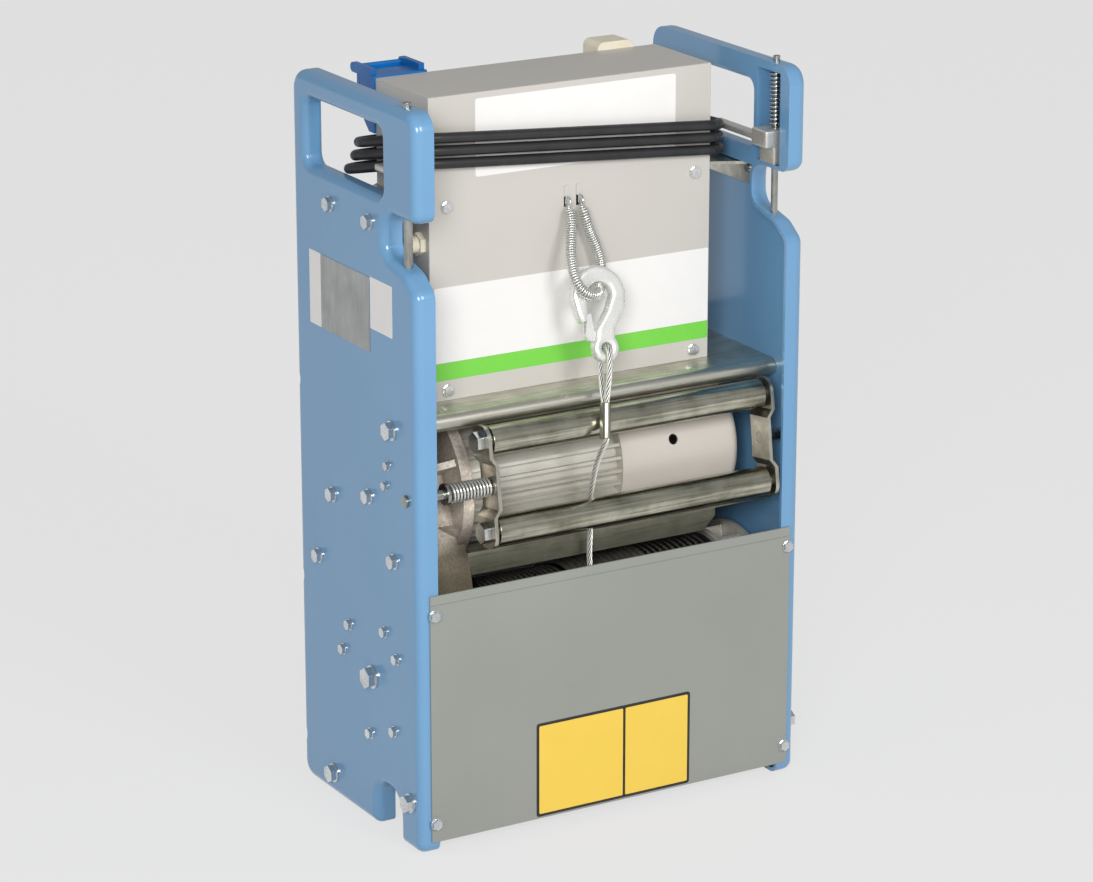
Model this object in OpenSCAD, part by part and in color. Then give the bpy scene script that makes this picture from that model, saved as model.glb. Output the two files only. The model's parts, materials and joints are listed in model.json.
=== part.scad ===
// Portable winch of a material hoist. Two side panels carry a control box, a geared motor, a rope drum,
// a rocking pair of rope rollers and a sprung rung lock on each side.
// The front faces -Y, the feet stand at Z = 0 and X = 0 is the middle of the width.
// Places along Y are first given as depths behind the front rims of the side panels.

/* [Frame] */
// Width over the outer faces of the side panels
frame_w = 446; // [440:1:460]
// Depth of a side panel, front rim to back rim
panel_d = 256; // [250:1:262]
// Height of a side panel
panel_h = 754; // [750:1:790]
// Depth of a side panel's turned-in rim
rim_t = 22; // [21:0.5:24]
// Wall of a side panel
panel_wall = 4; // [3:0.5:4.5]
// Rounding of a side panel's outer edge
edge_r = 10; // [6:0.5:11]

/* [Openings of a side panel] */
// Width of the handle bar in front of the hand window
front_bar = 67; // [66:0.5:72]
// Width of the handle bar behind the hand window
back_bar = 27; // [24:1:44]
// Height of the handle bar over the hand window
top_bar = 25; // [24:1:42]
// Height of the hand window
window_h = 69; // [60:1:72]
// Height of the top of the rung notch
notch_top = 646; // [640:1:648]
// Depth of the rung notch
notch_depth = 65; // [60:1:66]
// Depth at which the bottom arch starts
arch_front = 45; // [40:1:50]
// Width of the bottom arch
arch_w = 49; // [44:1:54]
// Height of the bottom arch
arch_h = 49; // [40:1:56]

/* [Control box] */
// Width of the control box
box_w = 324; // [316:1:328]
// Depth of the front of the control box
box_front = 83; // [80:1:88]
// Depth of the control box, lid included
box_d = 107; // [100:1:110]
// Height of the shelf that the control box stands on
shelf_z = 441; // [438:1:444]
// Height of the control box
box_h = 307; // [304:1:312]
// Sheet of the control box
box_wall = 2; // [1.5:0.25:2.5]

/* [Covers] */
// Width of the front cover
cover_w = 422; // [418:1:423]
// Height of the front cover's lower edge
cover_z = 13; // [8:1:16]
// Height of the front cover
cover_h = 260; // [240:1:266]
// Sheet of the covers
cover_t = 2; // [1.5:0.25:3]

/* [Motor and gearbox] */
// Depth of the motor's axis
motor_y = 125; // [122:1:128]
// Height of the motor's axis
motor_z = 345; // [343:1:346]
// Radius of the fan cowl
cowl_r = 72; // [68:1:74]
// Length of the fan cowl
cowl_l = 143; // [130:1:150]
// Radius over the motor's fins
fin_r = 69; // [66:1:71]
// Radius of the gearbox's motor flange
flange_r = 86; // [80:1:88]
// Module of the motor pinion and its gear
module_fast = 1.5; // [1.45:0.05:1.5]
// Module of the layshaft pinion and the drum gear
module_slow = 2; // [1.95:0.05:2.05]

/* [Drum] */
// Depth of the drum's axis
drum_y = 97; // [96:1:100]
// Height of the drum's axis
drum_z = 160; // [158:1:162]
// Radius of the drum with its lower rope layer
drum_r = 77; // [66:1:78]
// Radius of the cast end flange
drum_flange_r = 91; // [86:1:91]
// Radius of the fixed drum axle
axle_r = 12; // [10:0.5:12]

/* [Rope and rope guide] */
// Diameter of the hoist rope
rope_dia = 6; // [5:0.25:6]
// Depth of the rope guide's pivot
guide_y = 22; // [22:0.5:23]
// Height of the rope guide's pivot
guide_z = 367; // [366:0.5:368]
// Distance of a roller's axis from the pivot
guide_arm = 45.5; // [45:0.5:46]
// Radius of a roller
roller_r = 15; // [13:0.5:15]
// Backward lean of the rope guide, in degrees
guide_tilt = 8; // [8:0.5:9]

/* [Hook] */
// Outer radius of the hook's bowl
bowl_r = 29; // [27:0.5:30]
// Inner radius of the hook's bowl
bowl_in_r = 15; // [14:0.5:15.5]
// Thickness of the hook
hook_t = 10; // [8:0.5:10]
// Outer radius of the hook's eye
eye_r = 13.5; // [12:0.5:14]
// Radius of the hole in the hook's eye
eye_hole_r = 6.5; // [6.5:0.25:7]

/* [Rung lock] */
// Distance of the lock rods from the middle of the width
lock_x = 210; // [209.5:0.25:210.5]
// Depth of the lock rods
lock_y = 37; // [36:0.5:38]
// Diameter of the left lock rod
left_rod_dia = 9; // [6:0.5:9]
// Diameter of the right lock rod
right_rod_dia = 7; // [6:0.5:9]

/* [Control cable and pendant] */
// Diameter of the control cable
cable_dia = 10.5; // [9:0.25:10.5]
// Width of the pendant
pendant_w = 50; // [44:1:54]
// Depth of the pendant
pendant_d = 34; // [30:1:36]
// Height of the pendant
pendant_h = 112; // [100:1:112]

/* [Hidden] */
$fn = 64;

// Clearances: over cuts, running fits, drilled holes, soft pieces and flat seats
overrun = 1;
run_gap = 0.05;
hole_gap = 0.3;
seat_gap = 0.3;

// Steps of the rounded outlines and edges, and the least corner that an inset leaves
arc_steps = 6;
edge_steps = 4;
least_r = 2;

// Hexagon bolts: sizes as shares of the thread, with the threads in use
head_across_share = 1.6;
head_height_share = 0.65;
washer_dia_share = 2;
washer_t_share = 0.2;
m5 = 5;
m6 = 6;
m8 = 8;
m10 = 10;
m12 = 12;
function stack_h(m) = m * (head_height_share + washer_t_share);

// Depth of the whole object, from the front screws to the back screws, with its middle at Y = 0
front_reach = cover_t + stack_h(m6);
back_reach = stack_h(m6) - panel_wall;
front_y = -(panel_d + back_reach - front_reach) / 2;

// Corner radii of a side panel's outline and the shape of its rung notch
foot_r = 12;
arch_foot_r = 6;
arch_r = 20;
heel_r = 18;
crown_r = 20;
bar_end_r = 12;
notch_r = 17;
seat_r = 15;
seat_drop = 41;
lip_in = 22;
lip_drop = 52;
lip_r = 30;
lip_end_drop = 68;
lip_end_r = 14;
window_r = 11;
window_flare = 8;
window_in_flare = 5;
tray_top_bar = 18;
slot_front = 16;
slot_back = 58;
slot_rise = 4;
slot_top_wall = 9;
back_notch_r = 9;
back_notch_z_shares = [0.061, 0.2946, 0.574];

window_top = panel_h - top_bar;
window_z = window_top - window_h;
tray_top = window_z - tray_top_bar;
slot_z = notch_top + slot_rise;
slot_top = panel_h - slot_top_wall;
skin_x = frame_w / 2 - panel_wall;
rim_x = frame_w / 2 - rim_t;

panel_outline = [
  [0, 0, foot_r],
  [arch_front, 0, arch_foot_r],
  [arch_front, arch_h, arch_r],
  [arch_front + arch_w, arch_h, arch_r],
  [arch_front + arch_w, 0, arch_foot_r],
  [panel_d, 0, heel_r],
  [panel_d, panel_h, crown_r],
  [0, panel_h, crown_r],
  [0, notch_top, bar_end_r],
  [notch_depth, notch_top, notch_r],
  [notch_depth, notch_top - seat_drop, seat_r],
  [lip_in, notch_top - lip_drop, lip_r],
  [0, notch_top - lip_end_drop, lip_end_r]
];
window_outline = [
  [front_bar, window_z, window_r],
  [panel_d - back_bar, window_z, window_r],
  [panel_d - back_bar, window_top, window_r],
  [front_bar, window_top, window_r]
];

// Front cover, its fold and its screws
cover_screw_in = 6;
cover_screw_low = 20;
cover_screw_high = 20;
cover_fold_in = 10;
cover_fold_w = 0.8;
cover_fold_depth = 0.6;
cover_screw_x = rim_x + cover_screw_in;
cover_screw_zs = [cover_z + cover_screw_low, cover_z + cover_h - cover_screw_high];
cover_screw_grip = 10;

// Rear cover behind the motor and the drum, held at the notches in the back rims
rear_cover_z = 22;
rear_cover_side_gap = 4;
rear_screw_x = rim_x + rim_t / 2;
rear_screw_zs = [for (share = back_notch_z_shares) share * panel_h];
rear_cover_top = max(rear_screw_zs) + m12;
rear_screw_grip = 10;

// Shelf with its rolled front edge
shelf_t = 2;
shelf_roll_r = 9.5;
shelf_roll_y = 50;
shelf_back_gap = 16;
shelf_roll_z = shelf_z - shelf_roll_r;

// Cross plate behind the rope, with its apron
cross_y = 46;
cross_z = 292;
cross_t = 2;
cross_depth = 24;
cross_apron_h = 24;
cross_right_x = 150;
cross_corner = 14;

// Tie tubes between the side panels
tie_r = 11;
tie_front_y = 20;
tie_front_z = 51;
tie_back_y = 185;
tie_back_z = 25;
tie_seats = [[tie_front_y, tie_front_z], [tie_back_y, tie_back_z]];
tie_bolt_grip = 30;

// Control box: lid screws and the slots of the stow spring
box_top = shelf_z + box_h;
box_back = box_front + box_d;
lid_t = box_wall;
lid_rim = 14;
lid_screw_in = 19;
lid_screw_low = 11;
lid_screw_high = 110;
lid_screw_grip = 8;
lid_screw_x = box_w / 2 - lid_screw_in;
lid_screw_zs = [shelf_z + lid_screw_low, box_top - lid_screw_high];
stow_slot_x = 7;
stow_slot_w = 4.4;
stow_slot_h = 20;
stow_slot_rise = 190;
stow_slot_z = shelf_z + stow_slot_rise;

// Brackets that carry the control box, with a ledge under the cable
bracket_t = 3;
ledge_z = 641;
bracket_drop = 26;
bracket_front = 80;
bracket_back = 188;
ledge_slant = 28;
bracket_bolt_z = 632;
bracket_bolt_ys = [91, 173];
bracket_bolt_grip = 12;

// Contactor in the control box
contactor_w = 54;
contactor_d = 60;
contactor_h = 82;
contactor_rail_h = 35;
contactor_rail_d = 8;
contactor_rise = 120;
contactor_z = shelf_z + contactor_rise;
contactor_step = 14;
contactor_terminal_h = 16;

// Gearbox along X, from the left panel's skin to the motor flange
gear_cover_t = 5;
gear_case_l = 72;
gear_case_wall = 6;
gear_case_end = 8;
gear_gap = 1.5;
flange_t = 12;
flange_rim = 6;
motor_case_r = 46;
rib_t = 7;
rib_angles = [75, 150, 205];
gear_cover_x = -skin_x + gear_cover_t;
gear_case_x = gear_cover_x + gear_case_l;
motor_x = gear_case_x + flange_t - gear_case_end;

// Two spur gear pairs
fast_pinion_teeth = 24;
fast_gear_teeth = 102;
slow_pinion_teeth = 20;
slow_gear_teeth = 74;
fast_w = 14;
slow_w = 20;
fast_in = 6;
gear_step = 8;
fast_x = gear_cover_x + fast_in;
slow_x = fast_x + fast_w + gear_step;
backlash = 0.6;
pressure_angle = 20;
root_share = 1.25;
flank_share = 0.8;
layshaft_r = 10;
layshaft_gear_hub_r = 18;
fast_centre = module_fast * (fast_pinion_teeth + fast_gear_teeth) / 2;
slow_centre = module_slow * (slow_pinion_teeth + slow_gear_teeth) / 2;
fast_gear_r = module_fast * (fast_gear_teeth / 2 + 1);
slow_gear_r = module_slow * (slow_gear_teeth / 2 + 1);

// Motor from the flange to the cowl
motor_l = 187;
motor_wall_r = 60;
stator_r = 52;
rotor_r = 38;
air_gap = 0.5;
stator_in = 30;
stator_l = 110;
fin_count = 32;
fin_t = 3.2;
shield_t = 8;
rotor_shaft_r = 12;
rotor_seat_r = 9;
cowl_wall = 2;
cowl_edge_r = 12;
cowl_overlap = 6;
cowl_slot_count = 12;
cowl_slot_w = 5;
cowl_slot_in_r = 22;
cowl_slot_out_r = 50;
cowl_hole_r = 5.5;
cowl_hole_in = 62;
cowl_hole_angle = 161;
fan_hub_r = 20;
fan_r = 62;
fan_w = 22;
fan_in = 20;
fan_blades = 9;
fan_blade_t = 3;
fan_blade_in = 3;
fan_disc_t = 4;
fan_end = 6;
shield_x = motor_x + motor_l;
cowl_x = shield_x - cowl_overlap;

// Drum along X, its sleeve into the gearbox, its cast flange and its bushes
drum_left_x = 112;
drum_right_x = 168;
drum_tube_wall = 6;
drum_disc_t = 6;
drum_disc_r = 86;
sleeve_r = 20;
bush_r = 16;
bush_l = 20;
flange_w = 39;
flange_disc_t = 6;
flange_hub_r = 25;
flange_ring_r = 66;
flange_ring_wall = 6;
flange_step = 3;
flange_ribs = 14;
flange_rib_t = 6;
axle_collar_r = 17;
axle_collar_w = 5;
axle_bolt_l = 26;
sleeve_end_x = slow_x;
flange_end_x = drum_right_x + flange_w;

// Rope winding on the drum: the upper layer, with the turns nearest the flange as a plain band
winding_turns = 12;
winding_gap = 0.7;
winding_rings = 18;
winding_start_x = -5;
wound_lift = 4.3;
winding_pitch = rope_dia + winding_gap;
winding_r = drum_r + wound_lift;
winding_end_x = winding_start_x + winding_turns * winding_pitch;
band_gap = 4;
band_x = winding_end_x + rope_dia / 2 + band_gap;
band_r = drum_r + rope_dia;

// Rope guide along X
guide_left_x = 137;
guide_right_x = 197;
bracket_plate_t = 4;
bracket_joggle = 6;
bracket_half_h = 62;
bracket_tab_w = 34;
bracket_waist_w = 30;
bracket_tab_r = 14;
bracket_fold_in = 22;
bracket_fold_out = 30;
roller_gap = 4;
roller_wall = 2.5;
roller_plug = 14;
axle_pin_r = 6;
guide_shaft_r = 6;
guide_shaft_out = 3;
guide_collar_r = 11;
guide_collar_w = 4;
guide_spring_in = 38;
guide_spring_l = 39;
guide_spring_r = 8.8;
guide_wire = 2.4;
guide_turns = 7;

// Line of the parked hook: it leans back from the ferrule to the slots in the lid
line_y = 1.5;
line_z = 402;
line_lean = atan((box_front - line_y) / (stow_slot_z - line_z));
ferrule_l = 36;
ferrule_w = 13;
ferrule_t = 9;
rope_foot_x = -10;
rope_lean_share = 0.2;
hook_x = 7;
eye_w = 89;
bowl_x = 2;
bowl_rise = 52;
bowl_w = eye_w + bowl_rise;
tip_drop = 24;
latch_x = -15;
latch_rise = 14;
latch_pin_r = 2;
latch_ear_r = 5;
latch_t = 1.6;
latch_reach = 22;
latch_reach_x = -2;
latch_width = 7;

// Rope route from the drum to the ferrule, then through the ferrule and round the hook's eye
rope_sides = 8;
rope_route = [
  [-13, 16, 160], [-13, 16, 175], [-13, 18, 195], [-12, 22, 220], [-11, 26, 245], [-10, 31, 270],
  [-8, 33, 295], [-7.5, 34.5, 315], [-7.5, 33.5, 333], [-8, 28, 350], [-9.5, 19, 370], [-10.4, 10, 384],
  [-11, 2, 395]
];
eye_run = [
  [-3, 0], [-3, 12], [-3, 24], [-3, 36], [-6, 50], [-8.6, 64], [-8.9, 78], [-7.6, 86], [0, 91.4], [7.6, 86],
  [8.9, 78], [8.6, 64], [6, 50], [3, 37], [3, 20]
];
eye_route = [for (p = eye_run) [rope_foot_x + rope_lean_share * p[1], p[0], p[1]]];

// Stow spring: its loop runs from one slot, through the hook's bowl and back to the other slot
stow_wire = 2;
stow_r = 3.2;
stow_turns = 29;
stow_ease_share = 0.12;
stow_route = [
  [-7, 0, 250], [-8, -4, 233], [-13, -5, 216], [-17, -7, 199], [-17, -10, 182], [-9, -12.5, 166],
  [4, -8, 151.5], [13, 7.5, 151], [23, 12, 165], [27, 12, 182], [23.5, 9, 199], [17, 2, 216],
  [10, -4, 233], [7, 0, 250]
];

// Rung locks
rod_low = 50;
rod_top_reach = 5;
thumb_w = 19;
thumb_depth = 27;
thumb_h = 36;
thumb_back = 12;
paddle_l = 74;
paddle_w = 12;
paddle_t = 7;
paddle_drop = 6;
lock_wire = 1.8;
lock_spring_r = 6.6;
lock_turns = 9;
rod_z = notch_top - rod_low;
thumb_z = slot_z + seat_gap;

// Mains inlet and its lid on the back of the control box
inlet_x = -134;
inlet_w = 60;
inlet_z = 692;
inlet_h = 58;
inlet_low_d = 12;
inlet_d = 42;
inlet_collar_r = 25;
inlet_bore_r = 21;
inlet_bore_depth = 26;
inlet_pin_r = 3;
inlet_pin_circle = 11;
inlet_pin_l = 18;
inlet_lid_t = 6;
inlet_lid_gap = 0.4;
inlet_lid_r = 27;
inlet_tab_w = 24;
inlet_tab_h = 6;
inlet_hinge_r = 2.5;
inlet_ear_t = 6;
inlet_ear_r = 5;
inlet_hinge_rise = 30;
inlet_axis_z = inlet_z + inlet_h / 2;
inlet_face = box_back + inlet_d;
inlet_hinge_y = inlet_face + inlet_lid_gap + inlet_lid_t / 2;
inlet_hinge_z = inlet_axis_z + inlet_hinge_rise;

// Control socket on the back of the control box
socket_x = 115;
socket_w = 42;
socket_d = 30;
socket_h = 62;
socket_z = 694;
socket_cap_r = 14;
socket_cap_l = 9;
socket_r = 7;

// Cable gland and the cable's turns round the control box
gland_y = 100;
gland_z = 600;
gland_hex = 24;
gland_hex_l = 6;
gland_r = 8.5;
gland_l = 18;
cable_face = 9;
cable_pitch = 12.6;
cable_z = 646.5;
cable_front_rise = 20;
cable_left_share = 0.07;
cable_tuck_share = 0.2;
cable_turns = 3;
cable_rings = 24;
cable_sides = 6;
lead_sides = 8;
gland_route = [
  [-180.4, 100, 600], [-191, 100, 600], [-201, 107, 601], [-206, 120, 602], [-207, 140, 605],
  [-205, 162, 609], [-198, 181, 614], [-184, 197, 621], [-164, 205, 628], [-140, 207, 635],
  [-115, 204, 641], [-85, 201, 645], [-60.5, 199, 646.5]
];
pendant_route = [
  [-59.4, 199, 684.3], [-40, 200, 685], [-18, 205, 684], [2, 211, 680], [18, 216, 669], [26, 219, 656],
  [28, 220, 645], [28, 220, 636.4]
];

// Pendant in its holder behind the control box
pendant_x = 28;
pendant_y = 203;
pendant_z = 512;
pendant_r = 9;
boss_r = 9;
boss_h = 12;
button_r = 8;
button_gap = 34;
button_reach = 5;
button_stem = 6;
button_bore = 14;
stop_r = 11;
stop_head = 6;
holder_t = 2;
holder_side_gap = 1;
holder_lip = 16;
holder_back_h = 70;

// Slack rope switch on the left panel
switch_w = 24;
switch_d = 30;
switch_h = 46;
switch_y = 42;
switch_z = 360;
switch_lever_l = 14;
switch_lever_r = 3;
switch_bolts = [[59, 393], [64, 371]];

function unit(v) = v / norm(v);
function polar(r, a) = [r * cos(a), r * sin(a)];
function flat(p) = [p[0], p[1]];

// Where two circles round the motor and the drum axes cross, which is the layshaft's place
function lay_place() =
  let (
    m = [motor_y, motor_z],
    d = [drum_y, drum_z],
    span = norm(m - d),
    along = (slow_centre * slow_centre - fast_centre * fast_centre + span * span) / (2 * span),
    aside = sqrt(slow_centre * slow_centre - along * along),
    u = (m - d) / span
  )
  d + u * along + [u[1], -u[0]] * aside;
lay = lay_place();
fast_angle = atan2(lay[1] - motor_z, lay[0] - motor_y);
slow_angle = atan2(drum_z - lay[1], drum_y - lay[0]);

// Corner of an outline as an arc; each vertex is [across, up, radius]
function corner_points(a, b, c) =
  let (
    p = flat(b),
    u = unit(flat(a) - p),
    v = unit(flat(c) - p),
    half = acos(u * v) / 2,
    run = b[2] / tan(half),
    m = p + unit(u + v) * (b[2] / sin(half)),
    s = p + u * run - m,
    e = p + v * run - m,
    first = atan2(s[1], s[0]),
    turn = atan2(s[0] * e[1] - s[1] * e[0], s * e)
  )
  [for (i = [0:arc_steps]) m + polar(b[2], first + turn * i / arc_steps)];
function before(v, i) = v[(i + len(v) - 1) % len(v)];
function after(v, i) = v[(i + 1) % len(v)];
function rounded(v) = [for (i = [0:len(v) - 1]) each corner_points(before(v, i), v[i], after(v, i))];

// The same outline drawn inwards by w: outer corners tighten and inner corners widen
function inward(a, b) = let (d = unit(flat(b) - flat(a))) [-d[1], d[0]];
function inset(v, w) = [
  for (i = [0:len(v) - 1])
  let (
    n = inward(before(v, i), v[i]),
    m = inward(v[i], after(v, i)),
    p = flat(v[i]) + (n + m) * (w / (1 + n * m)),
    turn = n[0] * m[1] - n[1] * m[0]
  )
  [p[0], p[1], max(least_r, v[i][2] - sign(turn) * w)]
];
function slab_ring(v, w, s) = [for (p = rounded(inset(v, w))) [s, p[0], p[1]]];

// Smooth curve through the points of a route, u runs from 0 to the last point's number
function curve(v, u) =
  let (
    n = len(v) - 1,
    i = min(floor(u), n - 1),
    t = u - i,
    a = v[max(i - 1, 0)],
    b = v[i],
    c = v[i + 1],
    d = v[min(i + 2, n)]
  )
  (b * 2 + (c - a) * t + (a * 2 - b * 5 + c * 4 - d) * t * t + (b * 3 - a - c * 3 + d) * t * t * t) / 2;

// Rings of a tube along points, squared to a side direction
function way(v, i) = unit(v[min(i + 1, len(v) - 1)] - v[max(i - 1, 0)]);
function tube_rings(v, r, sides, side) = [
  for (i = [0:len(v) - 1])
  let (
    t = way(v, i),
    e = unit(side - t * (side * t)),
    f = cross(t, e)
  )
  [for (j = [0:sides - 1]) v[i] + (e * cos(360 * j / sides) + f * sin(360 * j / sides)) * r]
];

// Rings of a wire that winds round a core line; outs point from the core to the wire
function wire_rings(v, outs, r, sides) = [
  for (i = [0:len(v) - 1])
  let (
    t = way(v, i),
    e = unit(outs[i] - t * (outs[i] * t)),
    f = cross(t, e)
  )
  [for (j = [0:sides - 1]) v[i] + (e * cos(360 * j / sides) + f * sin(360 * j / sides)) * r]
];

// Least gap of a wound tube to itself, measured between points at least part of a turn apart
function least_gap(v, apart, r) =
  min([for (i = [0:len(v) - 1]) for (j = [i + apart:1:len(v) - 1]) norm(v[i] - v[j])]) - 2 * r;

// A point of the hook's line, as [across, behind, along], in depths behind the front
function on_line(p) = [
  p[0],
  line_y + p[2] * sin(line_lean) + p[1] * cos(line_lean),
  line_z + p[2] * cos(line_lean) - p[1] * sin(line_lean)
];

// Closed solid over a row of rings
module loft(rings) {
  n = len(rings[0]);
  m = len(rings);
  polyhedron(
    points = [for (ring = rings) each ring],
    faces = concat(
      [[for (j = [0:n - 1]) j]],
      [[for (j = [n - 1:-1:0]) (m - 1) * n + j]],
      [
        for (k = [0:m - 2]) for (j = [0:n - 1])
        let (a = k * n + j, b = k * n + (j + 1) % n)
        each [[a, a + n, b + n], [a, b + n, b]]
      ]
    )
  );
}

// Closed ring of rings, for a cutter that runs all the way round an outline
module hoop(rings) {
  n = len(rings[0]);
  m = len(rings);
  polyhedron(
    points = [for (ring = rings) each ring],
    faces = [
      for (k = [0:m - 1]) for (j = [0:n - 1])
      let (a = k * n + j, b = k * n + (j + 1) % n, c = (k + 1) % m * n + j, d = (k + 1) % m * n + (j + 1) % n)
      each [[a, d, c], [a, b, d]]
    ]
  );
}

// Shifts depths behind the front rims to the part's own frame
module from_front() {
  translate([0, front_y, 0]) children();
}

// Turns a shape drawn across depth and height so that it rises along X from x
module along_x(x) {
  translate([x, 0, 0]) rotate([90, 0, 90]) children();
}

// Round bar along X from x to x2 at a depth and a height
module bar(x, x2, y, z, r) {
  translate([x, y, z]) rotate([0, 90, 0]) cylinder(h = x2 - x, r = r);
}

// Round bar along Y from y to y2
module peg(x, z, y, y2, r) {
  translate([x, y2, z]) rotate([90, 0, 0]) cylinder(h = y2 - y, r = r);
}

module block(low, high) {
  translate(low) cube(high - low);
}

// Hexagon bolt with a washer under its head, which lies on the plane x = 0 and points to -X
module hex_bolt(m, grip) {
  head = m * head_height_share;
  washer = m * washer_t_share;
  translate([-washer - head, 0, 0]) rotate([0, 90, 0])
    cylinder(h = head, d = m * head_across_share / cos(30), $fn = 6);
  bar(-washer, 0, 0, 0, m * washer_dia_share / 2);
  bar(-washer, grip, 0, 0, m / 2);
}

// Bolts of a side panel as [depth, height, thread, length inside]
gear_ring_r = 63;
gear_ring_angles = [9, 40, 116, 146, 224, 275];
upper_bolt_r = 54;
upper_bolt_in_r = 26;
upper_bolt_angles = [-16, 169];
upper_bolt_rs = [upper_bolt_r, upper_bolt_in_r];
lay_bolt_r = 88;
lay_bolt_angles = [3, 148];
axle_bolts = [[drum_y, drum_z, m12, panel_wall + gear_cover_t + axle_bolt_l]];
shared_bolts = concat(
  [for (y = bracket_bolt_ys) [y, bracket_bolt_z, m8, bracket_bolt_grip]],
  [[shelf_roll_y, shelf_roll_z, m10, tie_bolt_grip]],
  [for (p = tie_seats) [p[0], p[1], m10, tie_bolt_grip]]
);
gear_grip = panel_wall + gear_cover_t;
gear_bolts = concat(
  [for (a = gear_ring_angles) concat([drum_y, drum_z] + polar(gear_ring_r, a), [m6, gear_grip])],
  [for (i = [0:1]) concat([motor_y, motor_z] + polar(upper_bolt_rs[i], upper_bolt_angles[i]), [m8, gear_grip])],
  [for (a = lay_bolt_angles) concat(lay + polar(lay_bolt_r, a), [m8, gear_grip])]
);
switch_bolt_grip = 12;
left_bolts = concat(
  shared_bolts,
  axle_bolts,
  gear_bolts,
  [for (p = switch_bolts) [p[0], p[1], m5, switch_bolt_grip]]
);
right_bolts = concat(shared_bolts, [[drum_y, drum_z, m12, panel_wall + axle_bolt_l]]);

module bolt_holes(bolts) {
  for (b = bolts)
    bar(-frame_w / 2 - overrun, -rim_x, b[0], b[1], b[2] / 2 + hole_gap);
}

// Side panel, drawn as the left one
module side_panel(bolts, rod_dia) {
  edge = concat(
    [
      slab_ring(panel_outline, -overrun, edge_r),
      slab_ring(panel_outline, -overrun, -overrun),
      slab_ring(panel_outline, edge_r, -overrun)
    ],
    [
      for (k = [0:edge_steps])
      let (a = 90 * k / edge_steps)
      slab_ring(panel_outline, edge_r * (1 - sin(a)), edge_r * (1 - cos(a)))
    ]
  );
  outer_flare = [
    for (k = [0:edge_steps])
    let (a = 90 * k / edge_steps)
    slab_ring(window_outline, -window_flare * (1 - sin(a)), window_flare * (1 - cos(a)))
  ];
  inner_flare = [
    for (k = [edge_steps:-1:0])
    let (a = 90 * k / edge_steps)
    slab_ring(window_outline, -window_in_flare * (1 - sin(a)), rim_t - window_in_flare * (1 - cos(a)))
  ];
  difference() {
    along_x(-frame_w / 2) linear_extrude(rim_t) polygon(rounded(panel_outline));
    translate([-frame_w / 2, 0, 0]) hoop(edge);
    translate([-frame_w / 2, 0, 0])
      loft(concat(
        [slab_ring(window_outline, -window_flare, -overrun)],
        outer_flare,
        inner_flare,
        [slab_ring(window_outline, -window_in_flare, rim_t + overrun)]
      ));
    along_x(-skin_x) linear_extrude(rim_t) intersection() {
      polygon(rounded(inset(panel_outline, panel_wall)));
      square([panel_d, tray_top]);
    }
    block([-skin_x, slot_front, slot_z], [-rim_x + overrun, slot_back, slot_top]);
    translate([-lock_x, lock_y, rod_z]) cylinder(h = panel_h - rod_z + overrun, r = rod_dia / 2 + run_gap);
    bar(-frame_w / 2 - overrun, -skin_x + overrun, guide_y, guide_z, guide_shaft_r + run_gap);
    bolt_holes(bolts);
    for (z = rear_screw_zs)
      bar(-frame_w / 2 - overrun, -rim_x + overrun, panel_d, z, back_notch_r);
    for (z = cover_screw_zs)
      peg(-cover_screw_x, z, -overrun, panel_wall + overrun, m6 / 2 + hole_gap);
  }
}

module left_side_panel() {
  color("#7aa5ce") from_front() side_panel(left_bolts, left_rod_dia);
}

module right_side_panel() {
  color("#7aa5ce") from_front() mirror([1, 0, 0]) side_panel(right_bolts, right_rod_dia);
}

module front_cover() {
  fold_z = cover_z + cover_h - cover_fold_in;
  color("#9a9d97") from_front() difference() {
    block([-cover_w / 2, -cover_t, cover_z], [cover_w / 2, 0, cover_z + cover_h]);
    block(
      [-cover_w / 2 - overrun, -cover_t - overrun, fold_z],
      [cover_w / 2 + overrun, -cover_t + cover_fold_depth, fold_z + cover_fold_w]
    );
    for (x = [-cover_screw_x, cover_screw_x]) for (z = cover_screw_zs)
      peg(x, z, -cover_t - overrun, overrun, m6 / 2 + hole_gap);
  }
}

module rear_cover() {
  half = skin_x - rear_cover_side_gap;
  back = panel_d - panel_wall;
  color("#9a9d97") from_front() difference() {
    block([-half, back - cover_t, rear_cover_z], [half, back, rear_cover_top]);
    for (x = [-rear_screw_x, rear_screw_x]) for (z = rear_screw_zs)
      peg(x, z, back - cover_t - overrun, back + overrun, m6 / 2 + hole_gap);
  }
}

// Screws of the covers and of the box lid
module cover_screws() {
  color("silver") from_front() {
    for (x = [-cover_screw_x, cover_screw_x]) for (z = cover_screw_zs)
      translate([x, -cover_t, z]) rotate([0, 0, 90]) hex_bolt(m6, cover_screw_grip);
    for (x = [-rear_screw_x, rear_screw_x]) for (z = rear_screw_zs)
      translate([x, panel_d - panel_wall, z]) rotate([0, 0, -90]) hex_bolt(m6, rear_screw_grip);
    for (x = [-lid_screw_x, lid_screw_x]) for (z = lid_screw_zs)
      translate([x, box_front, z]) rotate([0, 0, 90]) hex_bolt(m6, lid_screw_grip);
  }
}

module panel_bolts() {
  color("silver") from_front() {
    for (b = left_bolts)
      translate([-frame_w / 2, b[0], b[1]]) hex_bolt(b[2], b[3]);
    mirror([1, 0, 0]) for (b = right_bolts)
      translate([-frame_w / 2, b[0], b[1]]) hex_bolt(b[2], b[3]);
  }
}

module shelf() {
  color("#a7a89f") from_front() difference() {
    union() {
      block([-skin_x, shelf_roll_y, shelf_z - shelf_t], [skin_x, panel_d - shelf_back_gap, shelf_z]);
      bar(-skin_x, skin_x, shelf_roll_y, shelf_roll_z, shelf_roll_r);
    }
    bar(-skin_x - overrun, skin_x + overrun, shelf_roll_y, shelf_roll_z, m10 / 2 + hole_gap);
  }
}

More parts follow.
